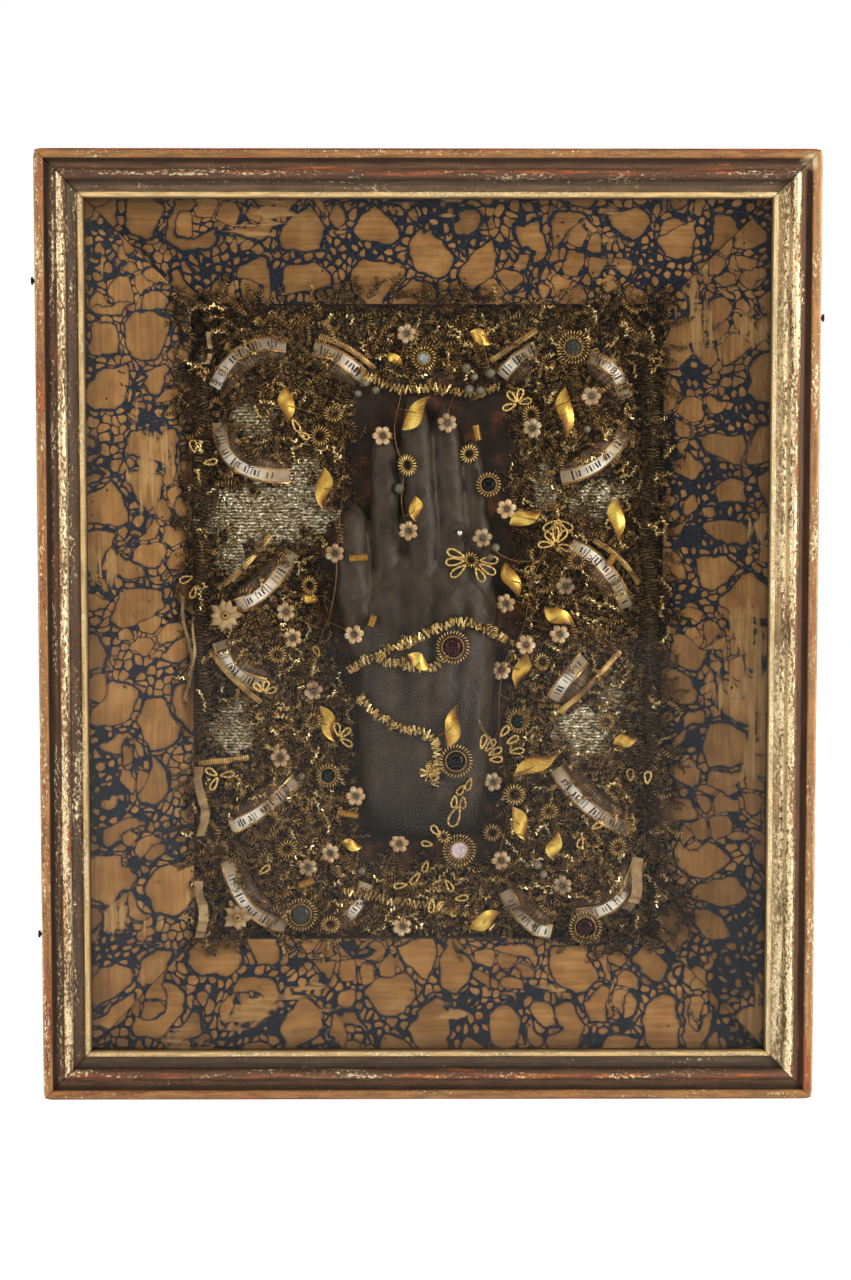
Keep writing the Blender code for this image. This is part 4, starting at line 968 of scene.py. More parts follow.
HAND_LENGTH = 0.210
HAND_PLACE = (0.495, 0.154)
HAND_BACK_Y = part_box("cast_hand")[1].y
HAND_VOXEL = 0.0011
PALM_FULLNESS = 0.75
PALM_SECTIONS = (  # up, across, width, thickness
    (0.000, -0.005, 0.150, 0.034),
    (0.018, -0.005, 0.226, 0.060),
    (0.055, -0.005, 0.274, 0.078),
    (0.125, -0.004, 0.290, 0.086),
    (0.240, 0.000, 0.300, 0.090),
    (0.340, 0.002, 0.312, 0.095),
    (0.440, 0.003, 0.317, 0.096),
    (0.520, 0.004, 0.318, 0.090),
    (0.585, 0.003, 0.300, 0.075),
    (0.630, 0.001, 0.270, 0.058),
    (0.658, 0.000, 0.225, 0.036),
)
FINGERS = {  # width, then (across, up) of the root, the middle knuckle and the tip
    "thumb": (0.080, (-0.118, 0.400), (-0.160, 0.560), (-0.163, 0.757)),
    "index": (0.066, (-0.086, 0.500), (-0.088, 0.692), (-0.095, 0.926)),
    "middle": (0.076, (-0.008, 0.490), (-0.008, 0.705), (-0.028, 1.000)),
    "ring": (0.065, (0.064, 0.490), (0.063, 0.700), (0.040, 0.981)),
    "little": (0.053, (0.125, 0.480), (0.121, 0.672), (0.101, 0.903)),
}
FINGER_PROFILE = (  # share of the finger's length, share of its width
    (0.00, 0.90),
    (0.22, 1.00),
    (0.38, 0.97),
    (0.50, 1.03),
    (0.64, 0.97),
    (0.80, 0.96),
    (0.90, 0.88),
    (0.97, 0.60),
    (1.00, 0.20),
)
FINGER_FULLNESS = 0.92
FINGER_FLATNESS = 0.92
FINGER_LIFT = 0.004
NAIL_SHARE = 0.80  # of the finger's length, where the nail starts
FOLDS = ((0.47, (-0.022, 0.0, 0.024)), (0.76, (-0.010, 0.012)))  # each joint's share of its finger, its folds
KNUCKLES = (  # across, up, size, height
    (-0.085, 0.545, 0.040, 0.0020),
    (-0.015, 0.560, 0.040, 0.0012),
    (0.055, 0.550, 0.036, 0.0009),
    (0.115, 0.520, 0.032, 0.0007),
    (-0.100, 0.240, 0.080, 0.0008),
)
TENDONS = (  # the hollows between them: start, end, depth
    ((-0.048, 0.60), (-0.040, 0.30), 0.0010),
    ((0.022, 0.60), (0.012, 0.28), 0.0008),
    ((0.088, 0.56), (0.062, 0.26), 0.0010),
    ((0.112, 0.40), (0.082, 0.14), 0.0008),
)


def hand_place(across, up):
    """The x and z of a place given as shares of the hand's length."""
    x, z = place(*HAND_PLACE)
    return x + across * HAND_LENGTH, z + up * HAND_LENGTH


def squared(values, fullness):
    """Values of -1 to 1 pushed outwards, which squares a circle off."""
    return np.sign(values) * np.abs(values) ** fullness


def ring_solid(batch, rings):
    """A closed solid through rings of equal count."""
    rings = np.asarray(rings)
    batch.add(rings, [faces[:, ::-1] for faces in tube_faces(*rings.shape[:2])])


def palm_solid(batch):
    """The palm and the wrist, flat at the back."""
    angle = np.pi * np.linspace(0, 1, 49)
    rings = []
    for up, across, width, thick in through(PALM_SECTIONS, 90):
        x, z = hand_place(across + squared(np.cos(angle), PALM_FULLNESS) * width / 2, up)
        front = thick * squared(np.sin(angle), PALM_FULLNESS)
        rings.append(np.stack([x, HAND_BACK_Y - front * HAND_LENGTH, np.full(len(angle), z)], axis=1))
    ring_solid(batch, rings)


def finger_line(finger, share):
    """The middle of a finger and the way along it, at a share of its length."""
    root, knuckle, tip = (np.array(spot) for spot in FINGERS[finger][1:])
    return bowed(root, knuckle, tip, share), (tip - root) / np.linalg.norm(tip - root)


def finger_solid(batch, finger):
    """A rounded finger that thins at its tip."""
    width = FINGERS[finger][0]
    angle = TAU * (np.arange(32) + 0.5) / 32
    side, rise = squared(np.cos(angle), FINGER_FULLNESS), squared(np.sin(angle), FINGER_FULLNESS)
    rings = []
    for share, swell in through(FINGER_PROFILE, 60):
        middle, along = finger_line(finger, share)
        half = width * swell / 2
        spot = middle + np.array([along[1], -along[0]]) * (half * side)[:, None]
        sink = 0.4 * width * (1 - min(1, swell)) ** 2
        front = half * FINGER_FLATNESS * (1 + rise) + FINGER_LIFT + sink
        x, z = hand_place(*spot.T)
        rings.append(np.stack([x, HAND_BACK_Y - front * HAND_LENGTH, z], axis=1))
    ring_solid(batch, rings)


def hand_skin():
    """One skin over the palm and the fingers, as points, normals and faces."""
    batch = Batch()
    palm_solid(batch)
    for finger in FINGERS:
        finger_solid(batch, finger)
    made = batch.piece("hand_solids", plaster, "hand_plaster", (), 180)
    remesh = made.modifiers.new("skin", "REMESH")
    remesh.mode = "VOXEL"
    remesh.voxel_size = HAND_VOXEL
    smooth = made.modifiers.new("smooth", "SMOOTH")
    smooth.factor = 0.5
    smooth.iterations = 4
    bpy.context.view_layer.update()
    evaluated = made.evaluated_get(bpy.context.evaluated_depsgraph_get())
    mesh = bpy.data.meshes.new_from_object(evaluated)
    points, normals = np.zeros((2, len(mesh.vertices) * 3))
    mesh.vertices.foreach_get("co", points)
    mesh.vertices.foreach_get("normal", normals)
    faces = np.array([tuple(p.vertices) for p in mesh.polygons])
    bpy.data.meshes.remove(mesh)
    bpy.data.objects.remove(made)
    return points.reshape(-1, 3), normals.reshape(-1, 3), faces


def groove(points, start, end, width, deep, bow=0.0):
    """How deep a groove between two hand places cuts at each point."""
    a, b = np.array(hand_place(*start)), np.array(hand_place(*end))
    length = np.linalg.norm(b - a)
    run = (b - a) / length
    offset = points[:, [0, 2]] - a
    along = offset @ run
    aside = offset @ np.array([run[1], -run[0]]) - bow * np.sin(np.pi * np.clip(along / length, 0, 1))
    ease = (-0.2 * length, 0.25 * length)
    taper = smooth_step(along, *ease) * smooth_step(length - along, *ease)
    return deep * np.exp(-((aside / width) ** 2)) * taper


def finger_creases(finger):
    """Folds of skin over a finger's joints, as groove arguments."""
    for joint, offsets in FOLDS:
        for offset in offsets:
            middle, along = finger_line(finger, joint + offset * 2)
            across = np.array([along[1], -along[0]]) * FINGERS[finger][0] * 0.36
            yield middle - across, middle + across, 0.0006, 0.00042, 0.0012 * np.sign(offset + 0.001)


def nail_rim(points, finger):
    """The shallow groove round a fingernail."""
    width = FINGERS[finger][0] * HAND_LENGTH
    middle, along = finger_line(finger, NAIL_SHARE + 0.10)
    x, z = hand_place(*middle)
    side = (points[:, 0] - x) * along[1] - (points[:, 2] - z) * along[0]
    up = (points[:, 0] - x) * along[0] + (points[:, 2] - z) * along[1]
    nail = (np.abs(side) / (0.30 * width)) ** 3 + (np.abs(up) / (0.42 * width)) ** 3
    return 0.0003 * np.exp(-(((nail - 1) / 0.3) ** 2))


def add_hand():
    """The cast hand: palm and fingers under one skin, with knuckles, folds, tendons and nails."""
    points, normals, faces = hand_skin()
    cuts = np.zeros(len(points))
    for finger in FINGERS:
        for fold in finger_creases(finger):
            cuts = np.maximum(cuts, groove(points, *fold))
        cuts = np.maximum(cuts, nail_rim(points, finger))
    swell = np.zeros(len(points))
    for across, up, size, rise in KNUCKLES:
        x, z = hand_place(across, up)
        away = np.hypot(points[:, 0] - x, points[:, 2] - z) / (size * HAND_LENGTH)
        swell += rise * np.exp(-away * away)
    for start, end, deep in TENDONS:
        cuts = cuts + groove(points, start, end, 0.0034, deep)
    front = smooth_step(-normals[:, 1], 0.1, 0.5)
    rough = 0.00012 * ripple(points, 0.004, 21) + 0.0002 * ripple(points, 0.015, 22)
    points = points + normals * ((swell - cuts + rough) * front)[:, None]
    points[:, 1] = np.minimum(points[:, 1], HAND_BACK_Y)
    # Painted shade: darker towards the lower end, on the sides that turn away from the front, and in the
    # folds and hollows.
    low_end = hand_place(0, 0.0)[1]
    tone = smooth_step(points[:, 2], low_end + 0.002, low_end + 0.042)
    crevice_shade = smooth_step(-normals[:, 1], 0.0, 0.9)
    tone = tone * (0.12 + 0.88 * crevice_shade) * (1 - 0.6 * np.clip(cuts / 0.0008, 0, 1))
    skin = Batch()
    skin.add(points, [faces], tone)
    lay(points)
    skin.piece("hand", plaster, "hand_plaster", ("cast_hand",), 180)


# Name strips and gilt bars: start, middle and end of each

STRIP_WIDTH = 0.0073
BAR_WIDTH = 0.0034
STRIP_STATIONS = 34
BAND_SAMPLES = 7
NAME_STRIPS = (
    ((0.050, 0.870), (0.112, 0.925), (0.202, 0.936)),
    ((0.258, 0.931), (0.317, 0.915), (0.371, 0.881)),
    ((0.060, 0.816), (0.095, 0.752), (0.207, 0.732)),
    ((0.658, 0.888), (0.689, 0.913), (0.731, 0.931)),
    ((0.840, 0.917), (0.890, 0.896), (0.918, 0.853)),
    ((0.782, 0.730), (0.862, 0.752), (0.917, 0.801)),
    ((0.094, 0.528), (0.160, 0.558), (0.212, 0.613)),
    ((0.057, 0.473), (0.090, 0.428), (0.152, 0.403)),
    ((0.078, 0.179), (0.148, 0.207), (0.221, 0.253)),
    ((0.071, 0.126), (0.114, 0.056), (0.196, 0.020)),
    ((0.304, 0.022), (0.343, 0.047), (0.368, 0.085)),
    ((0.804, 0.625), (0.876, 0.588), (0.925, 0.526)),
    ((0.769, 0.380), (0.799, 0.418), (0.835, 0.446)),
    ((0.774, 0.271), (0.842, 0.213), (0.932, 0.174)),
    ((0.820, 0.037), (0.903, 0.063), (0.955, 0.126)),
    ((0.666, 0.075), (0.713, 0.030), (0.766, 0.012)),
)
# The share of each strip's length where it is brightest
BRIGHT_SPOTS = (0.12, 0.78, 0.55, 0.3, 0.5, 0.5, 0.35, 0.4, 0.3, 0.4, 0.6, 0.35, 0.4, 0.4, 0.4, 0.7)
GILT_BARS = (
    ((0.271, 0.950), (0.331, 0.932), (0.388, 0.900)),
    ((0.635, 0.912), (0.683, 0.937), (0.731, 0.960)),
    ((0.054, 0.556), (0.115, 0.594), (0.166, 0.641)),
    ((0.036, 0.459), (0.087, 0.416), (0.145, 0.376)),
    ((0.853, 0.632), (0.908, 0.603), (0.952, 0.562)),
    ((0.781, 0.360), (0.850, 0.408), (0.911, 0.458)),
    ((0.012, 0.281), (0.064, 0.286), (0.119, 0.289)),
)
STROKE_PITCH = 0.0018
STROKE_THICK = 0.00007
STROKE_TALL = (0.19, 0.21, 0.31)  # half heights, in strip widths
STROKE_WIDE = (0.00042, 0.00085)
STROKE_LEAN = 0.00025
ROLL_RADIUS = 0.0036
ROLL_RIB = 0.0014
ROLL_INWARD = 0.0042
ROLL_DEEP = 0.0036
STRIP_EDGE = 0.00045  # from the strip's edge in to the middle of its gilding
BAR_SHARE = 0.74  # of the bar's width that is metal
BAR_CURVE = 0.00022
BAR_THICK = 0.0003


def banded(line, across):
    """A band's middle line, with the way across it and the way out of it."""
    across = unit(across)
    out = unit(np.cross(across, np.gradient(line, axis=0)))
    return line, across, out * -np.sign(out[:, 1:2])


def band_line(points, node, width):
    """A band felt off its CAD solid."""
    start, middle, end = (np.array(place(*point)) for point in points)
    flat = bowed(start, middle, end, np.linspace(0, 1, BAND_SAMPLES))
    flat[0] += 0.02 * (flat[1] - flat[0])
    flat[-1] += 0.02 * (flat[-2] - flat[-1])
    along = unit(np.gradient(flat, axis=0))
    aside = np.stack([along[:, 1], -along[:, 0]], axis=1)
    if aside[BAND_SAMPLES // 2] @ (middle - (start + end) / 2) < 0:
        aside = -aside
    probe = 0.30 * width
    rows = []
    for spot, out in zip(flat, aside):
        near, centre, far = (cad_depth(node, *(spot + out * k * probe), 0.0004) for k in (-1, 0, 1))
        slope = np.clip((far - near) / (2 * probe), -0.6, 0.6)
        rows.append([spot[0], centre, spot[1], out[0], slope, out[1]])
    rows = through(rows, STRIP_STATIONS)
    return banded(rows[:, :3], rows[:, 3:])


def ribbon(line, across, out, outline):
    """A band whose closed outline is (aside, outwards) in metres, the same at each station."""
    outline = np.asarray(outline)
    shape = line[:, None] + across[:, None] * outline[:, :1] + out[:, None] * outline[:, 1:]
    return shape.reshape(-1, 3), tube_faces(len(line), len(outline))


def add_rolls(bands):
    """Ribbed rolls of silk that the strips are bent over."""
    rolls = Batch()
    for number, (line, across, out) in enumerate(bands, 1):
        dense = evenly(through(line - across * ROLL_INWARD - out * ROLL_DEEP, 120), 0.0005)
        rib = np.sin(TAU * np.arange(len(dense)) * 0.0005 / ROLL_RIB)
        taper = np.sin(np.pi * np.linspace(0.04, 0.96, len(dense))) ** 0.35
        radius = ROLL_RADIUS * (1 + 0.10 * rib + 0.06 * ripple(dense, 0.008, number)) * taper
        # The tone follows the ribs: painted highlight on their crests and painted shade between them.
        lay(rolls.tube(dense, radius, 8, 0.5 + 0.45 * rib))
    rolls.piece("silk_rolls", silk, "padded_cloth", (), 180)


def add_strips():
    """Curved strips of paper between gilt edges, bent over rolls, with rows of pen strokes."""
    names = [f"name_strip_{number:02d}" for number in range(1, len(NAME_STRIPS) + 1)]
    bands = [band_line(points, node, STRIP_WIDTH) for points, node in zip(NAME_STRIPS, names)]
    add_rolls(bands)
    edges = Batch()
    half = STRIP_WIDTH / 2
    outline = [(a * (half - 0.0006), 0.00025 * (1 - a * a) - 0.0001) for a in np.linspace(-1, 1, 9)]
    outline += [(a * (half - 0.0006), -0.0003) for a in (1, -1)]
    t = np.linspace(0, 1, STRIP_STATIONS)
    for number, (band, bright_spot) in enumerate(zip(bands, BRIGHT_SPOTS), 1):
        line, across, out = band
        shape, faces = ribbon(*band, outline)
        bright = np.exp(-(((t - bright_spot) / 0.30) ** 2))
        batch = Batch()
        batch.add(shape, faces, np.repeat(0.36 + 0.64 * bright, len(outline)))
        batch.piece(f"strip_{number:02d}", paper_label, "label_paper", (names[number - 1],), 50)
        lay(shape)
        for side in (-1, 1):
            dense = evenly(line + across * side * (half - STRIP_EDGE) + out * 0.00005, 0.0008)
            beads = 0.00052 * (1 + 0.14 * np.sin(TAU * np.arange(len(dense)) / 2.4))
            shape, faces = sweep(dense, beads, 5, flat=0.6)
            edges.add(shape, faces, 0.42 + 0.2 * ripple(shape, 0.01, number))
            lay(shape)
    edges.piece("strip_edges", gold_wire, "gilt_foil", (), 60)
    add_strokes(bands)


def add_strokes(bands):
    """Rows of plain pen strokes, thick and thin, in groups along each strip."""
    batch = Batch()
    for line, across, out in bands:
        length = np.linalg.norm(np.diff(line, axis=0), axis=1).sum()
        shares = np.linspace(0, 1, len(line))
        columns = np.hstack([line, across, out]).T
        position, group = 0.14 * length, 3
        while position < 0.9 * length:
            if group == 0:
                position += STROKE_PITCH * 1.2
                group = int(draws.integers(3, 6))
            group -= 1
            tall = STRIP_WIDTH * draws.choice(STROKE_TALL)
            thick = draws.choice(STROKE_WIDE)
            lean = draws.uniform(-STROKE_LEAN, STROKE_LEAN)
            low, high = [], []
            for end, side in ((-1, -1), (1, -1), (1, 1), (-1, 1)):
                share = (position + side * thick / 2 + end * lean) / length
                values = np.array([np.interp(share, shares, column) for column in columns])
                spot, over, up = values.reshape(3, 3)
                spot = spot + over * end * tall
                low.append(spot + up * 0.0001)
                high.append(spot + up * (0.00016 + STROKE_THICK))
            batch.add(low + high, [BOX_FACES])
            position += STROKE_PITCH * draws.uniform(0.85, 1.15)
    batch.piece("pen_strokes", ink, "label_paper", (), 30)


def add_bars():
    """Strips of gilt metal crimped with fine cross ribs."""
    half = BAR_WIDTH / 2 * BAR_SHARE
    top = [(-half, 0.0), (-0.5 * half, BAR_CURVE), (0.5 * half, BAR_CURVE), (half, 0.0)]
    outline = [(-half, -BAR_THICK), *top, (half, -BAR_THICK)]
    for number, points in enumerate(GILT_BARS, 1):
        dense = evenly(np.hstack(band_line(points, f"gilt_bar_{number}", BAR_WIDTH)), 0.00026)
        line, across, out = np.split(dense, 3, axis=1)
        rib = 0.00012 * np.sin(TAU * np.arange(len(line)) / 4)
        shape, faces = ribbon(line + out * (rib - 0.0002)[:, None], across, out, outline)
        # The tone follows the ribs: painted highlight on their crests and painted shade between them.
        tone = np.repeat(0.5 + 2600 * rib, len(outline)) + 0.15 * ripple(shape, 0.01, number)
        batch = Batch()
        batch.add(shape, faces, tone)
        batch.piece(f"crimped_bar_{number}", gold_wire, "gilt_foil", (f"gilt_bar_{number}",), 60)
        lay(shape)


# Heads: leaves, flowers and stones

LEAF_WIDTH = 0.0080
LEAF_STOUTNESS = 0.55  # width over length of a short leaf, at most
LEAF_TWIST = 1.1
LEAF_FLAT = 0.35
LEAF_RIB = 0.0009
LEAF_THICK = 0.00012
FLOWER_RADIUS = 0.0047
SMALL_STONE = 0.0057
LARGE_STONE = 0.0077
PETALS = 6
PETAL_RINGS = np.array(((0.0, 1.0), (0.38, 0.92), (0.72, 0.68), (0.95, 0.28), (1.0, -0.2)))  # share, height
STONE_PROFILES = {  # share of the radius, height over the radius
    "cut": ((1.0, 0.0), (0.98, 0.20), (0.62, 0.62), (0.0, 0.62)),
    "dome": ((1.0, 0.0), (0.96, 0.25), (0.80, 0.48), (0.52, 0.66), (0.22, 0.74), (0.0, 0.75)),
    "disc": ((1.0, 0.0), (0.97, 0.16), (0.90, 0.22), (0.0, 0.22)),
}


def leaf(batch, base, tip, node):
    """A twisted leaf of foil with fine slanting ribs and a fold along its middle."""
    start, end = np.array(place(*base)), np.array(place(*tip))
    middle = (start + end) / 2
    y = min(surface(*middle, 0.003) - 0.0012, cad_depth(node, *middle) + 0.0006)
    length = np.linalg.norm(end - start)
    width = min(LEAF_WIDTH, LEAF_STOUTNESS * length)
    stations, columns = 36, 9
    t = np.linspace(0, 1, stations)
    along = (end - start) / length
    side = np.array([along[1], 0, -along[0]])
    flip = -1 if draws.random() < 0.5 else 1
    turn = (LEAF_TWIST * (t - LEAF_FLAT) * flip)[:, None]
    across = side * np.cos(turn) + np.array(FORWARD) * np.sin(turn) * flip
    face = FORWARD * np.cos(turn) - side * np.sin(turn)
    swell = (np.sin(np.pi * t**0.9) ** 0.9 * (1 - 0.2 * t) + 0.03)[:, None]
    sway = 0.05 * length * np.sin(TAU * t) * flip
    x = start[0] + (end - start)[0] * t + along[1] * sway
    z = start[1] + (end - start)[1] * t - along[0] * sway
    line = np.stack([x, y + 0.0016 - 0.0016 * np.sin(np.pi * t), z], axis=1)
    a = np.linspace(-1, 1, columns)
    rib = np.sin(TAU * (t[:, None] * length + a * 0.0012) / LEAF_RIB)
    spread = a * swell * width / 2
    raised = 0.0007 * (1 - np.abs(a)) * swell + 0.00006 * rib * swell
    top = line[:, None] + across[:, None] * spread[..., None] + face[:, None] * raised[..., None]
    under = top - face[:, None] * LEAF_THICK
    ring = np.concatenate([top, under[:, ::-1]], axis=1)
    # A painted highlight across the top, brightest near the middle of its length and towards one edge, over
    # the ribs.
    lit = 0.42 + 0.08 * rib + 0.40 * np.cos(4.0 * (t[:, None] - 0.4) + 1.3 * a * flip)
    tone = np.concatenate([lit, np.full(lit.shape, 0.18)], axis=1) + draws.uniform(-0.12, 0.10)
    batch.add(ring, [grid_faces(stations, 2 * columns)], tone.ravel())
    lay(ring)
    return np.array([middle[0], y, middle[1]])


def flower(batch, spot, node):
    """A flower of rounded wax petals round a sunken middle."""
    x, z = place(*spot)
    middle = np.array([x, min(surface(x, z, 0.002) - 0.0006, cad_depth(node, x, z) + 0.0010), z])
    radius = FLOWER_RADIUS
    phase = draws.uniform(0, TAU)
    tilt = draws.normal(0, 0.16, 2)
    shade = draws.uniform(0.6, 1.1)
    share, rise = PETAL_RINGS.T[:, :, None]
    steps = 12
    angles = TAU * np.arange(steps) / steps
    out = 0.60 * radius + 0.42 * radius * np.cos(angles) * share
    wide = 0.37 * radius * np.sin(angles) * share
    cleft_shade = 1 - 0.4 * np.exp(-((wide / (0.07 * radius)) ** 2))
    inner = np.clip((out - 0.22 * radius) / (0.5 * radius), 0, 1)
    # Painted shade: darker towards the flower's middle, at the rims of the petals and along each petal's
    # crease.
    tones = shade * (0.3 + 0.7 * inner) * (0.45 + 0.55 * rise) * cleft_shade
    for k in range(PETALS):
        px, pz = turned(out, wide, phase + TAU * k / PETALS + draws.normal(0, 0.05))
        py = -0.0011 * rise + tilt[0] * px + tilt[1] * pz
        points = middle + np.stack([px, py, pz], axis=-1)
        batch.add(points, [grid_faces(len(share), steps)[:, ::-1]], tones.ravel())
    core = np.vstack([circle(middle - (0, 0.0002, 0), 0.24 * radius, steps), middle - (0, 0.0007, 0)])
    around = np.arange(steps)
    batch.add(core, [np.stack([np.full(steps, steps), (around + 1) % steps, around], axis=1)], 0.05)
    lay(middle - (0, 0.001, 0))
    return middle


def coil_ring(batch, centre, radius, thick, wire, turns, tone, squash=1.0, turn=0.0):
    """A ring of coiled wire lying flat."""
    a = TAU * np.arange(turns * 8) / (turns * 8)
    spin = a * turns
    out = radius - thick + thick * np.cos(spin)
    x, z = turned(out * np.cos(a), out * np.sin(a) * squash, turn)
    points = centre + np.stack([x, -thick * 0.85 * np.sin(spin), z], axis=1)
    # One side of each turn is painted lighter and the other darker, as painted highlight and shade.
    batch.tube(points, wire, 4, tone + 0.5 * np.sin(spin + 0.5), upright=(0.12, -1, 0.17), closed=True)
    lay(points)


def stone(batch, centre, radius, kind):
    """A stone with a table and facets, a smooth dome or a flat disc."""
    sides = 8 if kind == "cut" else 28
    rows = []
    for number, (share, rise) in enumerate(STONE_PROFILES[kind]):
        spin = 0.5 * (number % 2) if kind == "cut" else 0
        angles = TAU * (np.arange(sides) + spin) / sides
        x, z = max(share, 1e-4) * radius * np.array([np.cos(angles), np.sin(angles)])
        rows.append(centre + np.stack([x, np.full(sides, -rise * radius * 0.8), z], 1))
    batch.add(rows, [grid_faces(len(rows), sides)[:, ::-1]])
    lay(rows)


STONES = {  # place, radius, tint, cut, radius share of the stone, CAD node
    "top": ((0.492, 0.917), SMALL_STONE, (150, 164, 160), "cut", 0.46, "jewel_top"),
    "top_right": ((0.807, 0.932), LARGE_STONE, (58, 56, 50), "dome", 0.52, "jewel_top_right"),
    "finger": ((0.629, 0.719), SMALL_STONE, (8, 16, 14), "dome", 0.60, "jewel_finger"),
    "right": ((0.695, 0.344), SMALL_STONE, (8, 26, 18), "cut", 0.62, "jewel_right"),
    "left": ((0.286, 0.257), SMALL_STONE, (8, 26, 18), "cut", 0.60, "jewel_left"),
    "wrist": ((0.568, 0.141), LARGE_STONE, (196, 178, 184), "disc", 0.50, "jewel_wrist"),
    "bottom_left": ((0.228, 0.040), LARGE_STONE, (60, 60, 56), "dome", 0.62, "jewel_bottom_left"),
    "bottom_right": ((0.837, 0.022), LARGE_STONE, (36, 8, 7), "dome", 0.60, "jewel_bottom_right"),
    "upper": ((0.553, 0.466), LARGE_STONE, (46, 8, 9), "dome", 0.62, "garland_upper"),
    "lower": ((0.560, 0.287), LARGE_STONE, (8, 9, 7), "dome", 0.58, "garland_lower"),
}
COLLET_PITCH = 0.0016
ROSETTE_PITCH = 0.0017
COLLET_WIRE = 0.00033
INNER_WIRE = 0.00028
BEZEL_WIRE = 0.00036
STONE_SINK = 0.0024  # from the front of the solid to the stone's foot
SMALL_SHARE = 0.56  # of the collet's radius, below which a stone needs a second coil round it


def add_stones():
    """Paste stones in collets of coiled wire."""
    for name, (spot, radius, tint, kind, share, node) in STONES.items():
        x, z = place(*spot)
        centre = np.array([x, cad_depth(node, x, z) + STONE_SINK, z])
        wires, glasses = Batch(), Batch()
        thick = min(0.5 * (1 - share) * radius * 0.92, 0.00085)
        turns = int(TAU * radius / COLLET_PITCH)
        coil_ring(wires, centre - (0, 0.0004, 0), radius, thick, COLLET_WIRE, turns, 0.30)
        if share < SMALL_SHARE:
            coil_ring(wires, centre + (0, 0.0004, 0), radius - 0.0020, 0.0008, INNER_WIRE, turns - 8, 0.26)
        inner = share * radius
        bezel = circle(centre - (0, 0.0006, 0), inner + 0.0003)
        wires.tube(bezel, BEZEL_WIRE, sides=6, tone=0.55, closed=True)
        stone(glasses, centre, inner, kind)
        nodes = (node,) if node.startswith("jewel") else ()
        mesh = glasses.piece(f"stone_{name}", stones, "coloured_glass", nodes, 25).data
        give(mesh, "zone", "FLOAT_COLOR", np.tile(srgb(tint), (len(mesh.vertices), 1)))
        wires.piece(f"collet_{name}", gold_wire, "gilt_wire", nodes, 180)


# Garlands, stems and sprays

TOP_ROUTE = ((0.350, 0.897), (0.400, 0.880), (0.446, 0.868), (0.520, 0.872), (0.589, 0.862), (0.655, 0.872))
DROP_ROUTE = ((0.446, 0.868), (0.430, 0.800), (0.448, 0.740), (0.445, 0.690), (0.459, 0.640))
UPPER_ROUTE = (
    (0.330, 0.427), (0.376, 0.448), (0.430, 0.466), (0.492, 0.486), (0.560, 0.505), (0.629, 0.492),
    (0.668, 0.474),
)
UPPER_LOOP = ((0.385, 0.452), (0.440, 0.440), (0.509, 0.436), (0.553, 0.466))
LOWER_ROUTE = (
    (0.357, 0.384), (0.400, 0.355), (0.454, 0.338), (0.500, 0.330), (0.520, 0.300), (0.515, 0.246),
)
BOTTOM_ROUTE = (
    (0.318, 0.075), (0.375, 0.068), (0.441, 0.055), (0.510, 0.050), (0.580, 0.036), (0.640, 0.018),
)
LEFT_STEM = (
    (0.292, 0.170), (0.280, 0.220), (0.250, 0.300), (0.222, 0.390), (0.262, 0.460), (0.300, 0.540),
    (0.312, 0.650), (0.322, 0.740), (0.318, 0.820),
)
RIGHT_STEM = (
    (0.655, 0.128), (0.676, 0.220), (0.655, 0.320), (0.660, 0.426), (0.705, 0.490), (0.722, 0.560),
    (0.766, 0.660), (0.750, 0.745), (0.722, 0.805),
)
BULLION_STEP = 0.0013
BULLION_LENGTH = 0.0034
BULLION_RADIUS = 0.0017
BULLION_TONES = (-0.8, -0.5, -0.1, 0.3, 0.8)
BULLION_PITCH = 0.0011
BULLION_WIRE = 0.00027
BULLION_SINK = 0.0022  # from the front of the solid to the middle of the wires
HAND_GARLANDS = ("garland_upper", "garland_lower")  # brighter, as they lie on the hand
STEM_WIRE = 0.00022
PLAIN_WIRE = 0.0003
RUFF = ((0.514, 0.268), (0.501, 0.277), (0.488, 0.268), (0.501, 0.258), (0.514, 0.266))
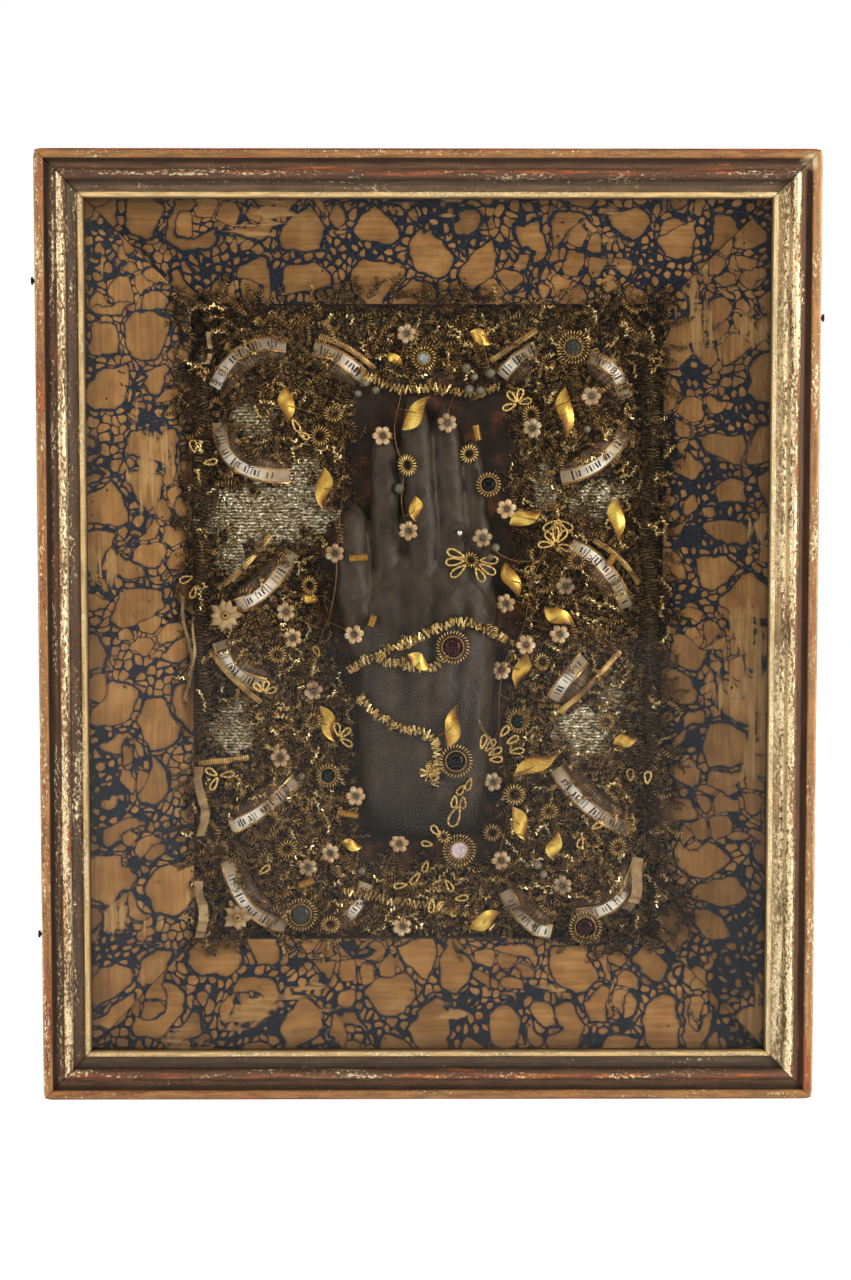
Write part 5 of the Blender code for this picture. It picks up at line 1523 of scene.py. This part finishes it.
GROUPS = {  # the crimped routes, plain wires, leaves and flowers of each CAD node
    "garland_top": (
        (TOP_ROUTE,), (DROP_ROUTE,),
        (
            ((0.446, 0.804), (0.505, 0.856)), ((0.589, 0.957), (0.639, 0.939)),
            ((0.417, 0.926), (0.446, 0.905)), ((0.473, 0.701), (0.475, 0.661)),
        ),
        ((0.404, 0.795), (0.541, 0.815), (0.459, 0.647), (0.455, 0.955)),
    ),
    "garland_upper": ((UPPER_ROUTE, UPPER_LOOP), (), (((0.458, 0.454), (0.509, 0.433)),), ()),
    "garland_lower": ((LOWER_ROUTE, RUFF), (), (((0.541, 0.309), (0.564, 0.376)),), ()),
    "garland_bottom": (
        (BOTTOM_ROUTE,), (),
        (((0.590, 0.017), (0.658, 0.042)),),
        ((0.445, 0.017), (0.439, 0.151)),
    ),
    "spray_left": (
        (), (LEFT_STEM,),
        (
            ((0.278, 0.746), (0.278, 0.678)), ((0.203, 0.870), (0.203, 0.815)),
            ((0.268, 0.368), (0.306, 0.309)), ((0.313, 0.149), (0.360, 0.143)),
            ((0.231, 0.545), (0.269, 0.533)),
        ),
        (
            (0.303, 0.612), (0.344, 0.485), (0.197, 0.519), (0.211, 0.477), (0.255, 0.393), (0.185, 0.290),
            (0.346, 0.228), (0.290, 0.135), (0.243, 0.113),
        ),
    ),
    "spray_right": (
        (), (RIGHT_STEM,),
        (
            ((0.790, 0.870), (0.791, 0.790)), ((0.675, 0.656), (0.743, 0.678)),
            ((0.667, 0.596), (0.695, 0.539)), ((0.748, 0.526), (0.813, 0.498)),
            ((0.710, 0.453), (0.691, 0.397)), ((0.685, 0.259), (0.778, 0.298)),
            ((0.683, 0.208), (0.717, 0.153)), ((0.764, 0.130), (0.777, 0.174)),
        ),
        (
            (0.721, 0.807), (0.843, 0.856), (0.667, 0.681), (0.616, 0.636), (0.667, 0.531), (0.794, 0.560),
            (0.781, 0.484), (0.657, 0.426), (0.710, 0.467), (0.640, 0.248), (0.658, 0.124), (0.788, 0.087),
        ),
    ),
}
LEFT_EDGING = (
    (0.100, 0.965), (0.035, 0.940), (0.022, 0.800), (0.024, 0.640), (0.018, 0.500), (0.020, 0.330),
)
RIGHT_EDGING = (
    (0.880, 0.968), (0.955, 0.940), (0.974, 0.780), (0.970, 0.640), (0.974, 0.400), (0.985, 0.150),
)
EDGING_LEAVES = (((0.900, 0.698), (0.903, 0.631)), ((0.896, 0.311), (0.948, 0.323)))
EDGING_RADIUS = 0.0019
EDGING_PITCH = 0.0015
EDGING_WIRE = 0.00026


def helix(batch, line, radius, pitch, wire, tone, steps, jitter):
    """A wire coiled round a 3-D line, a little unevenly."""
    length = np.linalg.norm(np.diff(line, axis=0), axis=1).sum()
    turns = max(2.0, length / pitch)
    dense = evenly(line, length / (turns * steps))
    count = len(dense)
    along, side, front = frames(dense, FORWARD)
    spin = TAU * turns * np.linspace(0, 1, count) + draws.uniform(0, TAU)
    swing = radius * (1 + jitter * np.repeat(draws.normal(size=count // steps + 1), steps)[:count])
    points = dense + side * (np.cos(spin) * swing)[:, None] + front * (np.sin(spin) * swing)[:, None] * 0.85
    # Each turn is lighter on one side, as a painted highlight, with a random tone for each turn besides.
    lit = tone + 0.22 * np.sin(spin) + 0.12 * np.repeat(draws.normal(size=count // steps + 1), steps)[:count]
    batch.tube(points, wire, 3, lit, upright=along.mean(axis=0) + (0.01, 0.01, 0.02))
    return points


def crimp(batch, line, reach, pitch, width, tone, thick):
    """A flat strip of foil folded to and fro in zigzag clumps along a 3-D line."""
    line = evenly(line, pitch)
    count = len(line)
    _, side, front = frames(line, FORWARD)
    angle = np.pi * np.arange(count) + draws.normal(0, 0.5, count)
    swing = reach * draws.uniform(0.6, 1.1, count)
    aside, forward = np.cos(angle) * swing, 0.8 * np.abs(np.sin(angle)) * swing
    points = line + side * aside[:, None] + front * forward[:, None]
    for a, b in zip(points, points[1:]):
        facing = unit(np.cross(b - a, draws.normal(size=3)))
        wide = facing * width / 2
        lift = np.cross(unit(b - a), facing) * thick
        quad = np.array([a - wide, a + wide, b + wide, b - wide])
        batch.add([quad, quad + lift], [BOX_FACES], tone + draws.uniform(-0.3, 0.35))


def bullion(batch, line, tone):
    """Short pieces of coiled wire strung at odd angles along a line."""
    for spot in evenly(line, BULLION_STEP):
        aim = draws.normal(0, 1, 3) * (1, 0.6, 1)
        aim *= draws.uniform(0.6, 1.0) * BULLION_LENGTH / np.linalg.norm(aim)
        middle = spot + draws.normal(0, 0.0011, 3) * (1, 0.4, 1)
        piece = middle + np.linspace(-0.5, 0.5, 4)[:, None] * aim
        radius = draws.uniform(0.6, 1.0) * BULLION_RADIUS
        lit = tone + draws.choice(BULLION_TONES)
        helix(batch, piece, radius, BULLION_PITCH, BULLION_WIRE, lit, steps=8, jitter=0.1)


def cad_line(shares, node, spacing, drop):
    """A 3-D line along a route, its depth felt off a CAD node and set back by a drop."""
    flat = route(shares, spacing)
    depth = np.array([cad_depth(node, x, z, 0.001) for x, z in flat])
    depth = np.convolve(np.pad(depth, 2, mode="edge"), np.ones(5) / 5, "valid") + drop
    return np.stack([flat[:, 0], depth, flat[:, 1]], axis=1)


def stem(batch, start, end):
    """A thin wire from one point to another, over whatever lies between."""
    t = np.linspace(0, 1, 14)
    bow = draws.normal(0, 0.10) * np.linalg.norm(end - start)
    run = unit(end - start)
    points = start + (end - start) * t[:, None]
    points += np.array([run[2], 0, -run[0]]) * (bow * np.sin(np.pi * t))[:, None]
    over = surface(points[:, 0], points[:, 2], RELIEF_STEP) - STEM_WIRE
    points[1:-1, 1] = np.minimum(points[:, 1], over)[1:-1]
    batch.tube(through(points, 30), STEM_WIRE, sides=5, tone=0.35, upright=(0.3, -1, 0.2))
    lay(points)


def add_groups():
    """The garlands and sprays that lie over the hand and round it."""
    for node, (crimped, plain_lines, leaves, flowers) in GROUPS.items():
        wires, glints, foils, petals = Batch(), Batch(), Batch(), Batch()
        anchors = []
        tone = 0.5 if node in HAND_GARLANDS else 0.36
        for shares in crimped:
            line = cad_line(shares, node, spacing=0.0012, drop=BULLION_SINK)
            bullion(wires, line, tone)
            glint_line = line - (0, 0.0006, 0)
            crimp(glints, glint_line, reach=0.0024, pitch=0.0011, width=0.0008, tone=tone + 0.1, thick=0.0002)
            anchors += list(line[::4])
            lay(line - (0, 0.0012, 0))
        for shares in plain_lines:
            line = cad_line(shares, node, spacing=0.0015, drop=2 * PLAIN_WIRE)
            wires.tube(line, PLAIN_WIRE, sides=5, tone=0.3)
            anchors += list(line[::3])
        heads = [leaf(foils, base, tip, node) for base, tip in leaves]
        heads += [flower(petals, spot, node) for spot in flowers]
        for head in heads:
            near = min(anchors, key=lambda spot: np.linalg.norm((spot - head)[[0, 2]]))
            stem(wires, near, head + (0, 0.0006, 0))
        wires.piece(f"{node}_wires", gold_wire, "gilt_wire", (node,), 180)
        if crimped:
            glints.piece(f"{node}_glints", fleck_foil, "gilt_foil", (node,), 30)
        foils.piece(f"{node}_leaves", gold_foil, "gilt_foil", (node,), 60)
        if flowers:
            petals.piece(f"{node}_flowers", petal, "gilt_foil", (node,), 180)


def add_edging():
    """Dark frizz in pads down both sides, lapping onto the paper."""
    for node, shares in (("wire_edging_left", LEFT_EDGING), ("wire_edging_right", RIGHT_EDGING)):
        wires = Batch()
        line = cad_line(shares, node, spacing=0.0025, drop=0.0034)
        for strand in range(4):
            sway = 0.0022 * np.stack([ripple(line, 0.02, strand + k) for k in (30, 40, 50)], axis=1)
            helix(wires, line + sway, EDGING_RADIUS, EDGING_PITCH, EDGING_WIRE, 0.34, steps=5, jitter=0.45)
        lay(line - (0, 0.003, 0))
        wires.piece(f"{node}_frizz", dark_wire, "tarnished_wire", (node,), 180)


def add_edging_leaves():
    """Two leaves on the right side's edging, over the frizz."""
    foils = Batch()
    for base, tip in EDGING_LEAVES:
        leaf(foils, base, tip, "wire_edging_right")
    foils.piece("wire_edging_right_leaves", gold_foil, "gilt_foil", ("wire_edging_right",), 60)


# Tinsel: loops, rosettes, pearls, daisies, tubes and loose ribbon

FANS = (  # middle of each fan of loops, radius it starts at, headings in degrees, length, width
    ((0.594, 0.601), 0.0040, (159, 185, 218, 298, 330, 0), 0.0077, 0.0045),
    ((0.777, 0.664), 0.0012, (215, 270, 325), 0.0070, 0.0040),
    ((0.772, 0.626), 0.0012, (52, 92, 132, 182, 340), 0.0064, 0.0038),
    ((0.606, 0.290), 0.0056, (2, 26, 50, 74), 0.0062, 0.0036),
    ((0.622, 0.298), 0.0115, (8, 30, 52), 0.0060, 0.0036),
    ((0.150, 0.392), 0.0012, (20, 70, 130), 0.0054, 0.0034),
    ((0.690, 0.845), 0.0010, (15, 75, 130, 200), 0.0056, 0.0036),
    ((0.310, 0.318), 0.0010, (40, 100, 330), 0.0060, 0.0036),
    ((0.055, 0.262), 0.0010, (10, 150, 240), 0.0060, 0.0036),
)
LOOPS = (  # place, heading in degrees from across, length, width
    ((0.592, 0.258), 250, 0.0058, 0.0036),
    ((0.577, 0.247), 235, 0.0050, 0.0036),
    ((0.575, 0.230), 268, 0.0054, 0.0036),
    ((0.558, 0.232), 262, 0.0054, 0.0036),
    ((0.566, 0.216), 248, 0.0098, 0.0064),
    ((0.011, 0.769), 100, 0.0056, 0.0042),
    ((0.030, 0.752), 10, 0.0060, 0.0034),
    ((0.002, 0.575), 200, 0.0060, 0.0040),
    ((0.010, 0.560), 250, 0.0052, 0.0034),
    ((0.935, 0.252), 95, 0.0056, 0.0042),
    ((0.965, 0.252), 85, 0.0056, 0.0042),
    ((0.142, 0.107), 40, 0.0056, 0.0034),
    ((0.525, 0.168), 130, 0.0056, 0.0038),
    ((0.510, 0.150), 170, 0.0050, 0.0032),
    ((0.500, 0.120), 250, 0.0054, 0.0034),
    ((0.483, 0.102), 230, 0.0064, 0.0034),
    ((0.540, 0.090), 300, 0.0060, 0.0034),
    ((0.560, 0.060), 10, 0.0060, 0.0036),
    ((0.455, 0.085), 190, 0.0060, 0.0032),
    ((0.510, 0.062), 265, 0.0066, 0.0036),
    ((0.850, 0.180), 30, 0.0056, 0.0034),
    ((0.830, 0.165), 250, 0.0052, 0.0034),
    ((0.215, 0.820), 300, 0.0060, 0.0036),
    ((0.228, 0.800), 330, 0.0054, 0.0034),
    ((0.730, 0.590), 200, 0.0050, 0.0032),
    ((0.900, 0.540), 40, 0.0050, 0.0032),
    ((0.350, 0.205), 210, 0.0052, 0.0032),
    ((0.268, 0.448), 120, 0.0050, 0.0032),
)
ROSETTES = (  # place, radius, tone
    ((0.457, 0.749), 0.0052, 0.42), ((0.592, 0.601), 0.0042, 0.34), ((0.687, 0.228), 0.0054, 0.26),
    ((0.292, 0.026), 0.0046, 0.30), ((0.588, 0.767), 0.0046, 0.42), ((0.534, 0.165), 0.0032, 0.40),
    ((0.720, 0.828), 0.0050, 0.30), ((0.270, 0.795), 0.0052, 0.24), ((0.300, 0.830), 0.0048, 0.22),
    ((0.248, 0.560), 0.0046, 0.22), ((0.180, 0.452), 0.0046, 0.24), ((0.255, 0.345), 0.0044, 0.22),
    ((0.640, 0.165), 0.0044, 0.26), ((0.880, 0.345), 0.0046, 0.20), ((0.745, 0.440), 0.0044, 0.24),
    ((0.815, 0.600), 0.0044, 0.22), ((0.760, 0.205), 0.0042, 0.24), ((0.200, 0.145), 0.0048, 0.22),
    ((0.905, 0.150), 0.0046, 0.18),
)
PEARLS = (  # place, radius
    ((0.440, 0.713), 0.0024), ((0.644, 0.621), 0.0020), ((0.632, 0.606), 0.0017), ((0.633, 0.893), 0.0024),
    ((0.589, 0.868), 0.0023), ((0.612, 0.866), 0.0022), ((0.583, 0.902), 0.0021), ((0.600, 0.888), 0.0019),
    ((0.368, 0.880), 0.0023), ((0.390, 0.868), 0.0021), ((0.352, 0.862), 0.0019), ((0.229, 0.257), 0.0020),
    ((0.358, 0.105), 0.0020), ((0.837, 0.805), 0.0018), ((0.735, 0.120), 0.0022), ((0.748, 0.105), 0.0019),
)
SILVER_BEAD = (0.568, 0.644)
DAISIES = (  # place, radius, petals, fullness
    ((0.070, 0.514), 0.0095, 10, 0.9),
    ((0.094, 0.038), 0.0105, 8, 0.7),
)
TUBES = (  # gold foil tubes: place, heading, length
    ((0.354, 0.605), 4, 0.0085), ((0.329, 0.197), 350, 0.0100), ((0.241, 0.091), 20, 0.0072),
    ((0.383, 0.507), 70, 0.0050), ((0.888, 0.601), 60, 0.0060), ((0.605, 0.800), 280, 0.0070),
)
RIBBONS = (  # loose ends of cream ribbon: start, end, width
    ((0.019, 0.276), (0.018, 0.168), 0.0042),
    ((0.016, 0.095), (0.015, 0.007), 0.0046),
    ((-0.006, 0.545), (-0.014, 0.381), 0.0016),
    ((0.012, 0.520), (-0.004, 0.420), 0.0013),
    ((0.956, 0.130), (0.930, 0.045), 0.0052),
    ((0.612, 0.352), (0.640, 0.300), 0.0010),
    ((0.044, 0.955), (0.040, 0.905), 0.0022),
)
LOOP_WIRE = 0.0005
ROSETTE_WIRE = 0.00034
ROSETTE_THICK = 0.30  # of its radius
BEAD_RADIUS = 0.0017
BEAD_RING = 0.0050


def teardrop(batch, spot, heading, length, width, tone, base=None):
    """A closed loop of gold wire, narrow where it starts."""
    x, z = place(*spot)
    a = np.linspace(0, TAU, 22, endpoint=False)
    share = 0.5 - 0.5 * np.cos(a)
    px, pz = turned(length * share, width / 2 * np.sin(a) * (0.35 + 0.65 * share), math.radians(heading))
    px, pz = x + px, z + pz
    if base is None:
        base = surface(px, pz, 0.0008).min()
    y = base - LOOP_WIRE - draws.uniform(0, 0.0008) * np.sin(a / 2) ** 2
    # Painted glints at nine places round the loop.
    lit = tone + 0.25 * np.sin(a * 9)
    lay(batch.tube(np.stack([px, y, pz], 1), LOOP_WIRE, 6, lit, upright=(0.05, -1, 0.02), closed=True))


def ball(batch, centre, radius):
    """A bead or pearl."""
    rows, sides = 9, 16
    points = [
        circle(centre - (0, radius * math.cos(angle), 0), radius * max(math.sin(angle), 1e-3), sides)
        for angle in np.pi * np.arange(rows) / (rows - 1)
    ]
    batch.add(points, [grid_faces(rows, sides)], 0.6)
    lay(points)


def daisy(batch, spot, radius, petals, fullness):
    """A straw daisy of long notched petals round a coiled middle."""
    centre = resting(spot, 0.003, 0.0012)
    columns, rows = 5, 9
    t = np.linspace(0.12, 1, rows)[:, None]
    a = np.linspace(-1, 1, columns)[None]
    # Painted highlight along each petal's middle, darker towards its edges.
    tone = np.tile(0.45 + 0.5 * (1 - np.abs(a)), (rows, 2))
    for k in range(petals):
        heading = TAU * k / petals + draws.normal(0, 0.10)
        reach = radius * draws.uniform(0.8, 1.05) * fullness
        wide = 0.0021 * np.sin(np.pi * np.clip(t, 0, 0.94) ** 0.9) * a
        px, pz = turned(reach * (t - 0.10 * np.abs(a) * (t > 0.95)), wide, heading)
        lift = -0.0012 * np.sin(np.pi * t * 0.8) + 0.0005 * np.abs(a) + draws.normal(0, 0.0004) * t
        top = centre + np.stack([px, lift, pz], axis=-1)
        ring = np.concatenate([top, top[:, ::-1] + (0, 0.00015, 0)], axis=1)
        batch.add(ring, [grid_faces(rows, 2 * columns)], tone.ravel())
        lay(ring)


def foil_tube(batch, spot, heading, length):
    """A tube of gold foil, its ribs painted on as bands of highlight and shade."""
    centre = resting(spot, 0.004, 0.0013)
    x, z = turned(np.linspace(-0.5, 0.5, 14) * length, 0, math.radians(heading))
    line = evenly(centre + np.stack([x, np.zeros(14), z], axis=1), 0.0004)
    lay(batch.tube(line, 0.0017, 10, 0.3 + 0.25 * np.sin(TAU * np.arange(len(line)) / 2.6)))


def loose_ribbon(batch, start, end, width):
    """A loose end of ribbon with a slow wave and a twist in it."""
    a, b = np.array(place(*start)), np.array(place(*end))
    t = np.linspace(0, 1, 26)
    length = np.linalg.norm(b - a)
    wave = 0.05 * length * np.sin(TAU * t * 0.9 + 1)
    run = (b - a) / length
    x = a[0] + (b - a)[0] * t + run[1] * wave
    z = a[1] + (b - a)[1] * t - run[0] * wave
    y = surface(x, z, 0.0016) - 0.0009 - 0.0008 * np.sin(np.pi * t)
    across = np.stack([np.full(26, run[1]), 0.35 * np.sin(TAU * t * 1.3), np.full(26, -run[0])], axis=1)
    half = width / 2
    front = [(-half, 0.0002), (-half / 3, -0.0001), (half / 3, 0.0001), (half, -0.0001)]
    band = banded(np.stack([x, y, z], axis=1), across)
    shape, faces = ribbon(*band, [*front, (half, -0.0003), (-half, 0.0)])
    batch.add(shape, faces, 0.75 + 0.2 * ripple(shape, 0.01, 4))
    lay(shape)


def fan(batch, spot, start, headings, length, width):
    """Loops that spread from round one place."""
    level = surface(*place(*spot), start + 0.5 * length) - 0.0004
    for heading in headings:
        aim = math.radians(heading)
        base = (spot[0] + start * math.cos(aim) / MOUTH_WIDTH, spot[1] + start * math.sin(aim) / MOUTH_HEIGHT)
        long = length * draws.uniform(0.9, 1.1)
        teardrop(batch, base, heading, long, width, draws.uniform(0.65, 0.9), level)


def add_trifles():
    """Loops, rosettes, pearls, daisies, tubes and ribbon ends on top of the frizz."""
    loops, coils, tubes, pearls, beads, daisies, ends = (Batch() for _ in range(7))
    for spot, radius, tone in ROSETTES:
        centre = resting(spot, radius * 0.7, 0.0008)
        squash = draws.uniform(0.8, 1.0)
        turns = int(TAU * radius / ROSETTE_PITCH)
        thick, turn = radius * ROSETTE_THICK, draws.uniform(0, 3)
        coil_ring(coils, centre, radius, thick, ROSETTE_WIRE, turns, tone, squash, turn)
    for spot, heading, length, width in LOOPS:
        teardrop(loops, spot, heading, length, width, draws.uniform(0.6, 0.85))
    for values in FANS:
        fan(loops, *values)
    for values in TUBES:
        foil_tube(tubes, *values)
    for spot, radius in PEARLS:
        ball(pearls, resting(spot, 0.001, radius * 0.9), radius)
    bead = resting(SILVER_BEAD, 0.001, 0.0016)
    ball(beads, bead, BEAD_RADIUS)
    loops.tube(circle(bead + (-0.001, 0.0008, 0), BEAD_RING), STEM_WIRE, sides=5, tone=0.05, closed=True)
    for values in DAISIES:
        daisy(daisies, *values)
        centre = resting(values[0], 0.001, 0.0002)
        coil_ring(coils, centre, radius=0.0019, thick=0.0007, wire=STEM_WIRE, turns=14, tone=0.3)
    for values in RIBBONS:
        loose_ribbon(ends, *values)
    loops.piece("wire_loops", gold_wire, "gilt_wire", (), 180)
    coils.piece("wire_rosettes", gold_wire, "gilt_wire", (), 180)
    tubes.piece("foil_tubes", gold_foil, "gilt_foil", (), 60)
    pearls.piece("pearls", pearl, "coloured_glass", (), 180)
    beads.piece("silver_bead", silver, "coloured_glass", (), 180)
    daisies.piece("straw_daisies", straw, "label_paper", (), 60)
    ends.piece("ribbon_ends", straw, "label_paper", (), 60)


# The frizz that fills the wreath round the hand

FRIZZ_GRID = 0.0042
FRIZZ_MORE = 0.36  # further curls on top, as a share of the first layer
CURL_LENGTH = (0.006, 0.013)
CURL_RADIUS = (0.0007, 0.0013)
CURL_PITCH = (0.0013, 0.0018)
CURL_WIRE = 0.00028
CURL_CLIMB = 0.007
FLECK_SHARE = 0.22
STRIP_CLEARANCE = 0.0050
LAYER_COUNT = 60  # curls tried before the relief takes them in
PAD_FULLNESS = 1.8
PADS = (  # dark wool-like wire lapping over the mouth's edge: start, end, spread, curls
    ((0.000, 0.995), (0.000, 0.800), 0.0040, 40),
    ((0.000, 0.995), (0.110, 0.998), 0.0040, 22),
    ((0.004, 0.800), (-0.004, 0.430), 0.0030, 46),
    ((0.290, 1.004), (0.620, 1.004), 0.0028, 44),
    ((0.860, 1.000), (1.000, 0.990), 0.0040, 26),
    ((0.992, 0.990), (1.000, 0.300), 0.0034, 84),
    ((1.000, 0.300), (0.985, 0.010), 0.0040, 46),
    ((1.020, 0.090), (1.030, 0.010), 0.0038, 22),
    ((0.000, 0.300), (0.010, 0.010), 0.0028, 24),
    ((0.010, 0.004), (0.110, -0.004), 0.0032, 18),
    ((0.780, 0.000), (0.980, 0.000), 0.0032, 32),
)


def field_spots(fields):
    """Places for curls: an uneven grid over the fields, then some more at random."""
    spots = []
    for field in fields:
        x0, z0, x1, z1 = field_box(*field)
        columns, rows = max(1, round((x1 - x0) / FRIZZ_GRID)), max(1, round((z1 - z0) / FRIZZ_GRID))
        grid = np.stack(np.meshgrid(np.arange(columns), np.arange(rows)), axis=-1).reshape(-1, 2)
        shares = (grid + draws.uniform(0, 1, grid.shape)) / (columns, rows)
        extra = draws.uniform(0, 1, (int(len(grid) * FRIZZ_MORE), 2))
        spots += [(x0 + (x1 - x0) * a, z0 + (z1 - z0) * b) for a, b in [*draws.permutation(shares), *extra]]
    return spots


def curl(batch, x, z, tone):
    """A short coiled wire that bends as it goes and lies on what is under it, or nothing on a steep step."""
    count = 9
    length, radius = draws.uniform(*CURL_LENGTH), draws.uniform(*CURL_RADIUS)
    turn = draws.uniform(0, TAU) + draws.normal(0, 1.6) * np.linspace(0, 1, count)
    px = x + np.cumsum(np.cos(turn) * length / count)
    pz = z + np.cumsum(np.sin(turn) * length / count)
    under = surface(px, pz, RELIEF_STEP)
    if np.ptp(under) > CURL_CLIMB:
        return None
    y = np.convolve(np.pad(under, 1, mode="edge"), (0.25, 0.5, 0.25), "valid") - radius * 0.6
    pitch = draws.uniform(*CURL_PITCH)
    return helix(batch, np.stack([px, y, pz], axis=1), radius, pitch, CURL_WIRE, tone, steps=4, jitter=0.25)


def add_frizz():
    """Curls of crimped wire with flecks of folded foil among them, in layers."""
    keep_clear = np.concatenate([route(points, 0.002) for points in NAME_STRIPS + GILT_BARS])
    for name, fields in FRIZZ_FIELDS.items():
        wires, flecks = Batch(), Batch()
        pending = []
        for number, (x, z) in enumerate(field_spots(fields)):
            near_strip = np.hypot(*(keep_clear - (x, z)).T).min() < STRIP_CLEARANCE
            lame_share = max(bright * (away < 0.9) for away, bright in lame_patches(x, z))
            if near_strip or draws.random() < 1.1 * lame_share:
                continue
            points = curl(wires, x, z, np.clip(draws.normal(0.42, 0.15), 0.06, 0.9))
            if points is None:
                continue
            pending.append(points)
            if draws.random() < FLECK_SHARE:
                fleck_line = points[:: max(1, len(points) // 6)] - (0, 0.0008, 0)
                tone = draws.uniform(0.3, 0.9)
                crimp(flecks, fleck_line, reach=0.0008, pitch=0.0010, width=0.0006, tone=tone, thick=0.00015)
            if number % LAYER_COUNT == 0:
                for points in pending:
                    lay(points[::3])
                pending = []
        wires.piece(f"frizz_{name}", frizz_wire, "tarnished_wire", (), 180)
        flecks.piece(f"flecks_{name}", fleck_foil, "gilt_foil", (), 30)


def add_pads():
    """Dark wool-like wire in pads over the edge of the paper."""
    for number, (start, end, spread, count) in enumerate(PADS, 1):
        wires = Batch()
        a, b = np.array(place(*start)), np.array(place(*end))
        for _ in range(int(PAD_FULLNESS * count)):
            x, z = a + (b - a) * draws.random() + draws.normal(0, spread * 0.6, 2)
            points = curl(wires, x, z, draws.uniform(0.15, 0.55))
            if points is not None:
                lay(points[::3])
        wires.piece(f"wire_pad_{number:02d}", dark_wire, "tarnished_wire", (), 180)


# Stage, lights and camera

CAMERA_PLACE = (-0.0082, -1.083, 0.281)
CAMERA_DOWN = math.radians(3.89)
CAMERA_RIGHT = math.radians(0.378)
FOCAL_PIXELS = 2341
PHOTO_HEIGHT = 1280
SENSOR = 36.0
WARM = (1.0, 0.94, 0.84)
FLOOR_RADIUS = 3.2
WALL_LOW, WALL_HIGH = -0.6, 3.5


def add_camera():
    """The camera, placed as the photo was taken."""
    data = bpy.data.cameras.new("camera")
    data.sensor_width = SENSOR
    data.lens = FOCAL_PIXELS / PHOTO_HEIGHT * SENSOR
    camera = bpy.data.objects.new("camera", data)
    camera.location = CAMERA_PLACE
    camera.rotation_euler = (math.pi / 2 - CAMERA_DOWN, 0, -CAMERA_RIGHT)
    bpy.context.scene.collection.objects.link(camera)
    bpy.context.scene.camera = camera


def add_light(name, spot, goal, size, power, tint=(1, 1, 1)):
    """A rectangular light that shines at its goal and that the camera does not see."""
    data = bpy.data.lights.new(name, "AREA")
    data.shape = "RECTANGLE"
    data.size, data.size_y = size
    data.energy = power
    data.color = tint
    light = bpy.data.objects.new(name, data)
    light.location = spot
    light.rotation_euler = (Vector(goal) - Vector(spot)).to_track_quat("-Z", "Y").to_euler()
    light.visible_camera = False
    bpy.context.scene.collection.objects.link(light)


def glowing(name, base, glow):
    """A white glow over a base colour."""
    white = (1, 1, 1, 1)
    return Paint(name).set(Base_Color=base, Roughness=0.9, Emission_Color=white, Emission_Strength=glow)


def stage_piece(name, points, faces, material):
    """A mesh that belongs to the backdrop and not to the part."""
    batch = Batch()
    batch.add(points, faces)
    made = batch.piece(name, material, None)
    return made


def add_stage():
    """A pale floor, a white wall that only the camera sees, and two soft lights from the sides."""
    rim = circle((0, 0, 0), FLOOR_RADIUS, 96)[:, [0, 2, 1]]
    stage_piece("floor", rim, [np.arange(96)[None]], glowing("floor_white", (0.25, 0.25, 0.25, 1), 0.96))
    rings = [rim + (0, 0, height) for height in (WALL_LOW, WALL_HIGH)]
    backdrop = stage_piece("backdrop", rings, [grid_faces(2, 96)], glowing("wall_white", (0, 0, 0, 1), 1.0))
    backdrop.visible_diffuse = False
    backdrop.visible_glossy = False
    backdrop.visible_shadow = False
    world = bpy.data.worlds.new("studio")
    world.use_nodes = True
    world.node_tree.nodes["Background"].inputs["Color"].default_value = (0.145, 0.135, 0.12, 1)
    bpy.context.scene.world = world
    middle = (0, 0, HEIGHT / 2)
    add_light("left_light", (-1.25, -0.95, 0.60), middle, (0.5, 1.1), 10, WARM)
    add_light("right_light", (1.25, -0.95, 0.60), middle, (0.5, 1.1), 27, WARM)
    add_light("top_light", (0.0, -1.1, 1.5), middle, (1.2, 0.4), 7, WARM)
    add_light("rear_light", (0.6, 1.6, 1.3), middle, (1.4, 1.0), 24)


def settle_colours():
    """The view transform for the picture."""
    view = bpy.context.scene.view_settings
    view.view_transform = "Standard"
    view.look = "None"


add_camera()
add_stage()
settle_colours()
add_rails()
paint_box()
lay_splay()
add_ground()
add_hand()
add_strips()
add_bars()
add_pads()
add_edging()
add_frizz()
add_edging_leaves()
add_stones()
add_groups()
add_trifles()
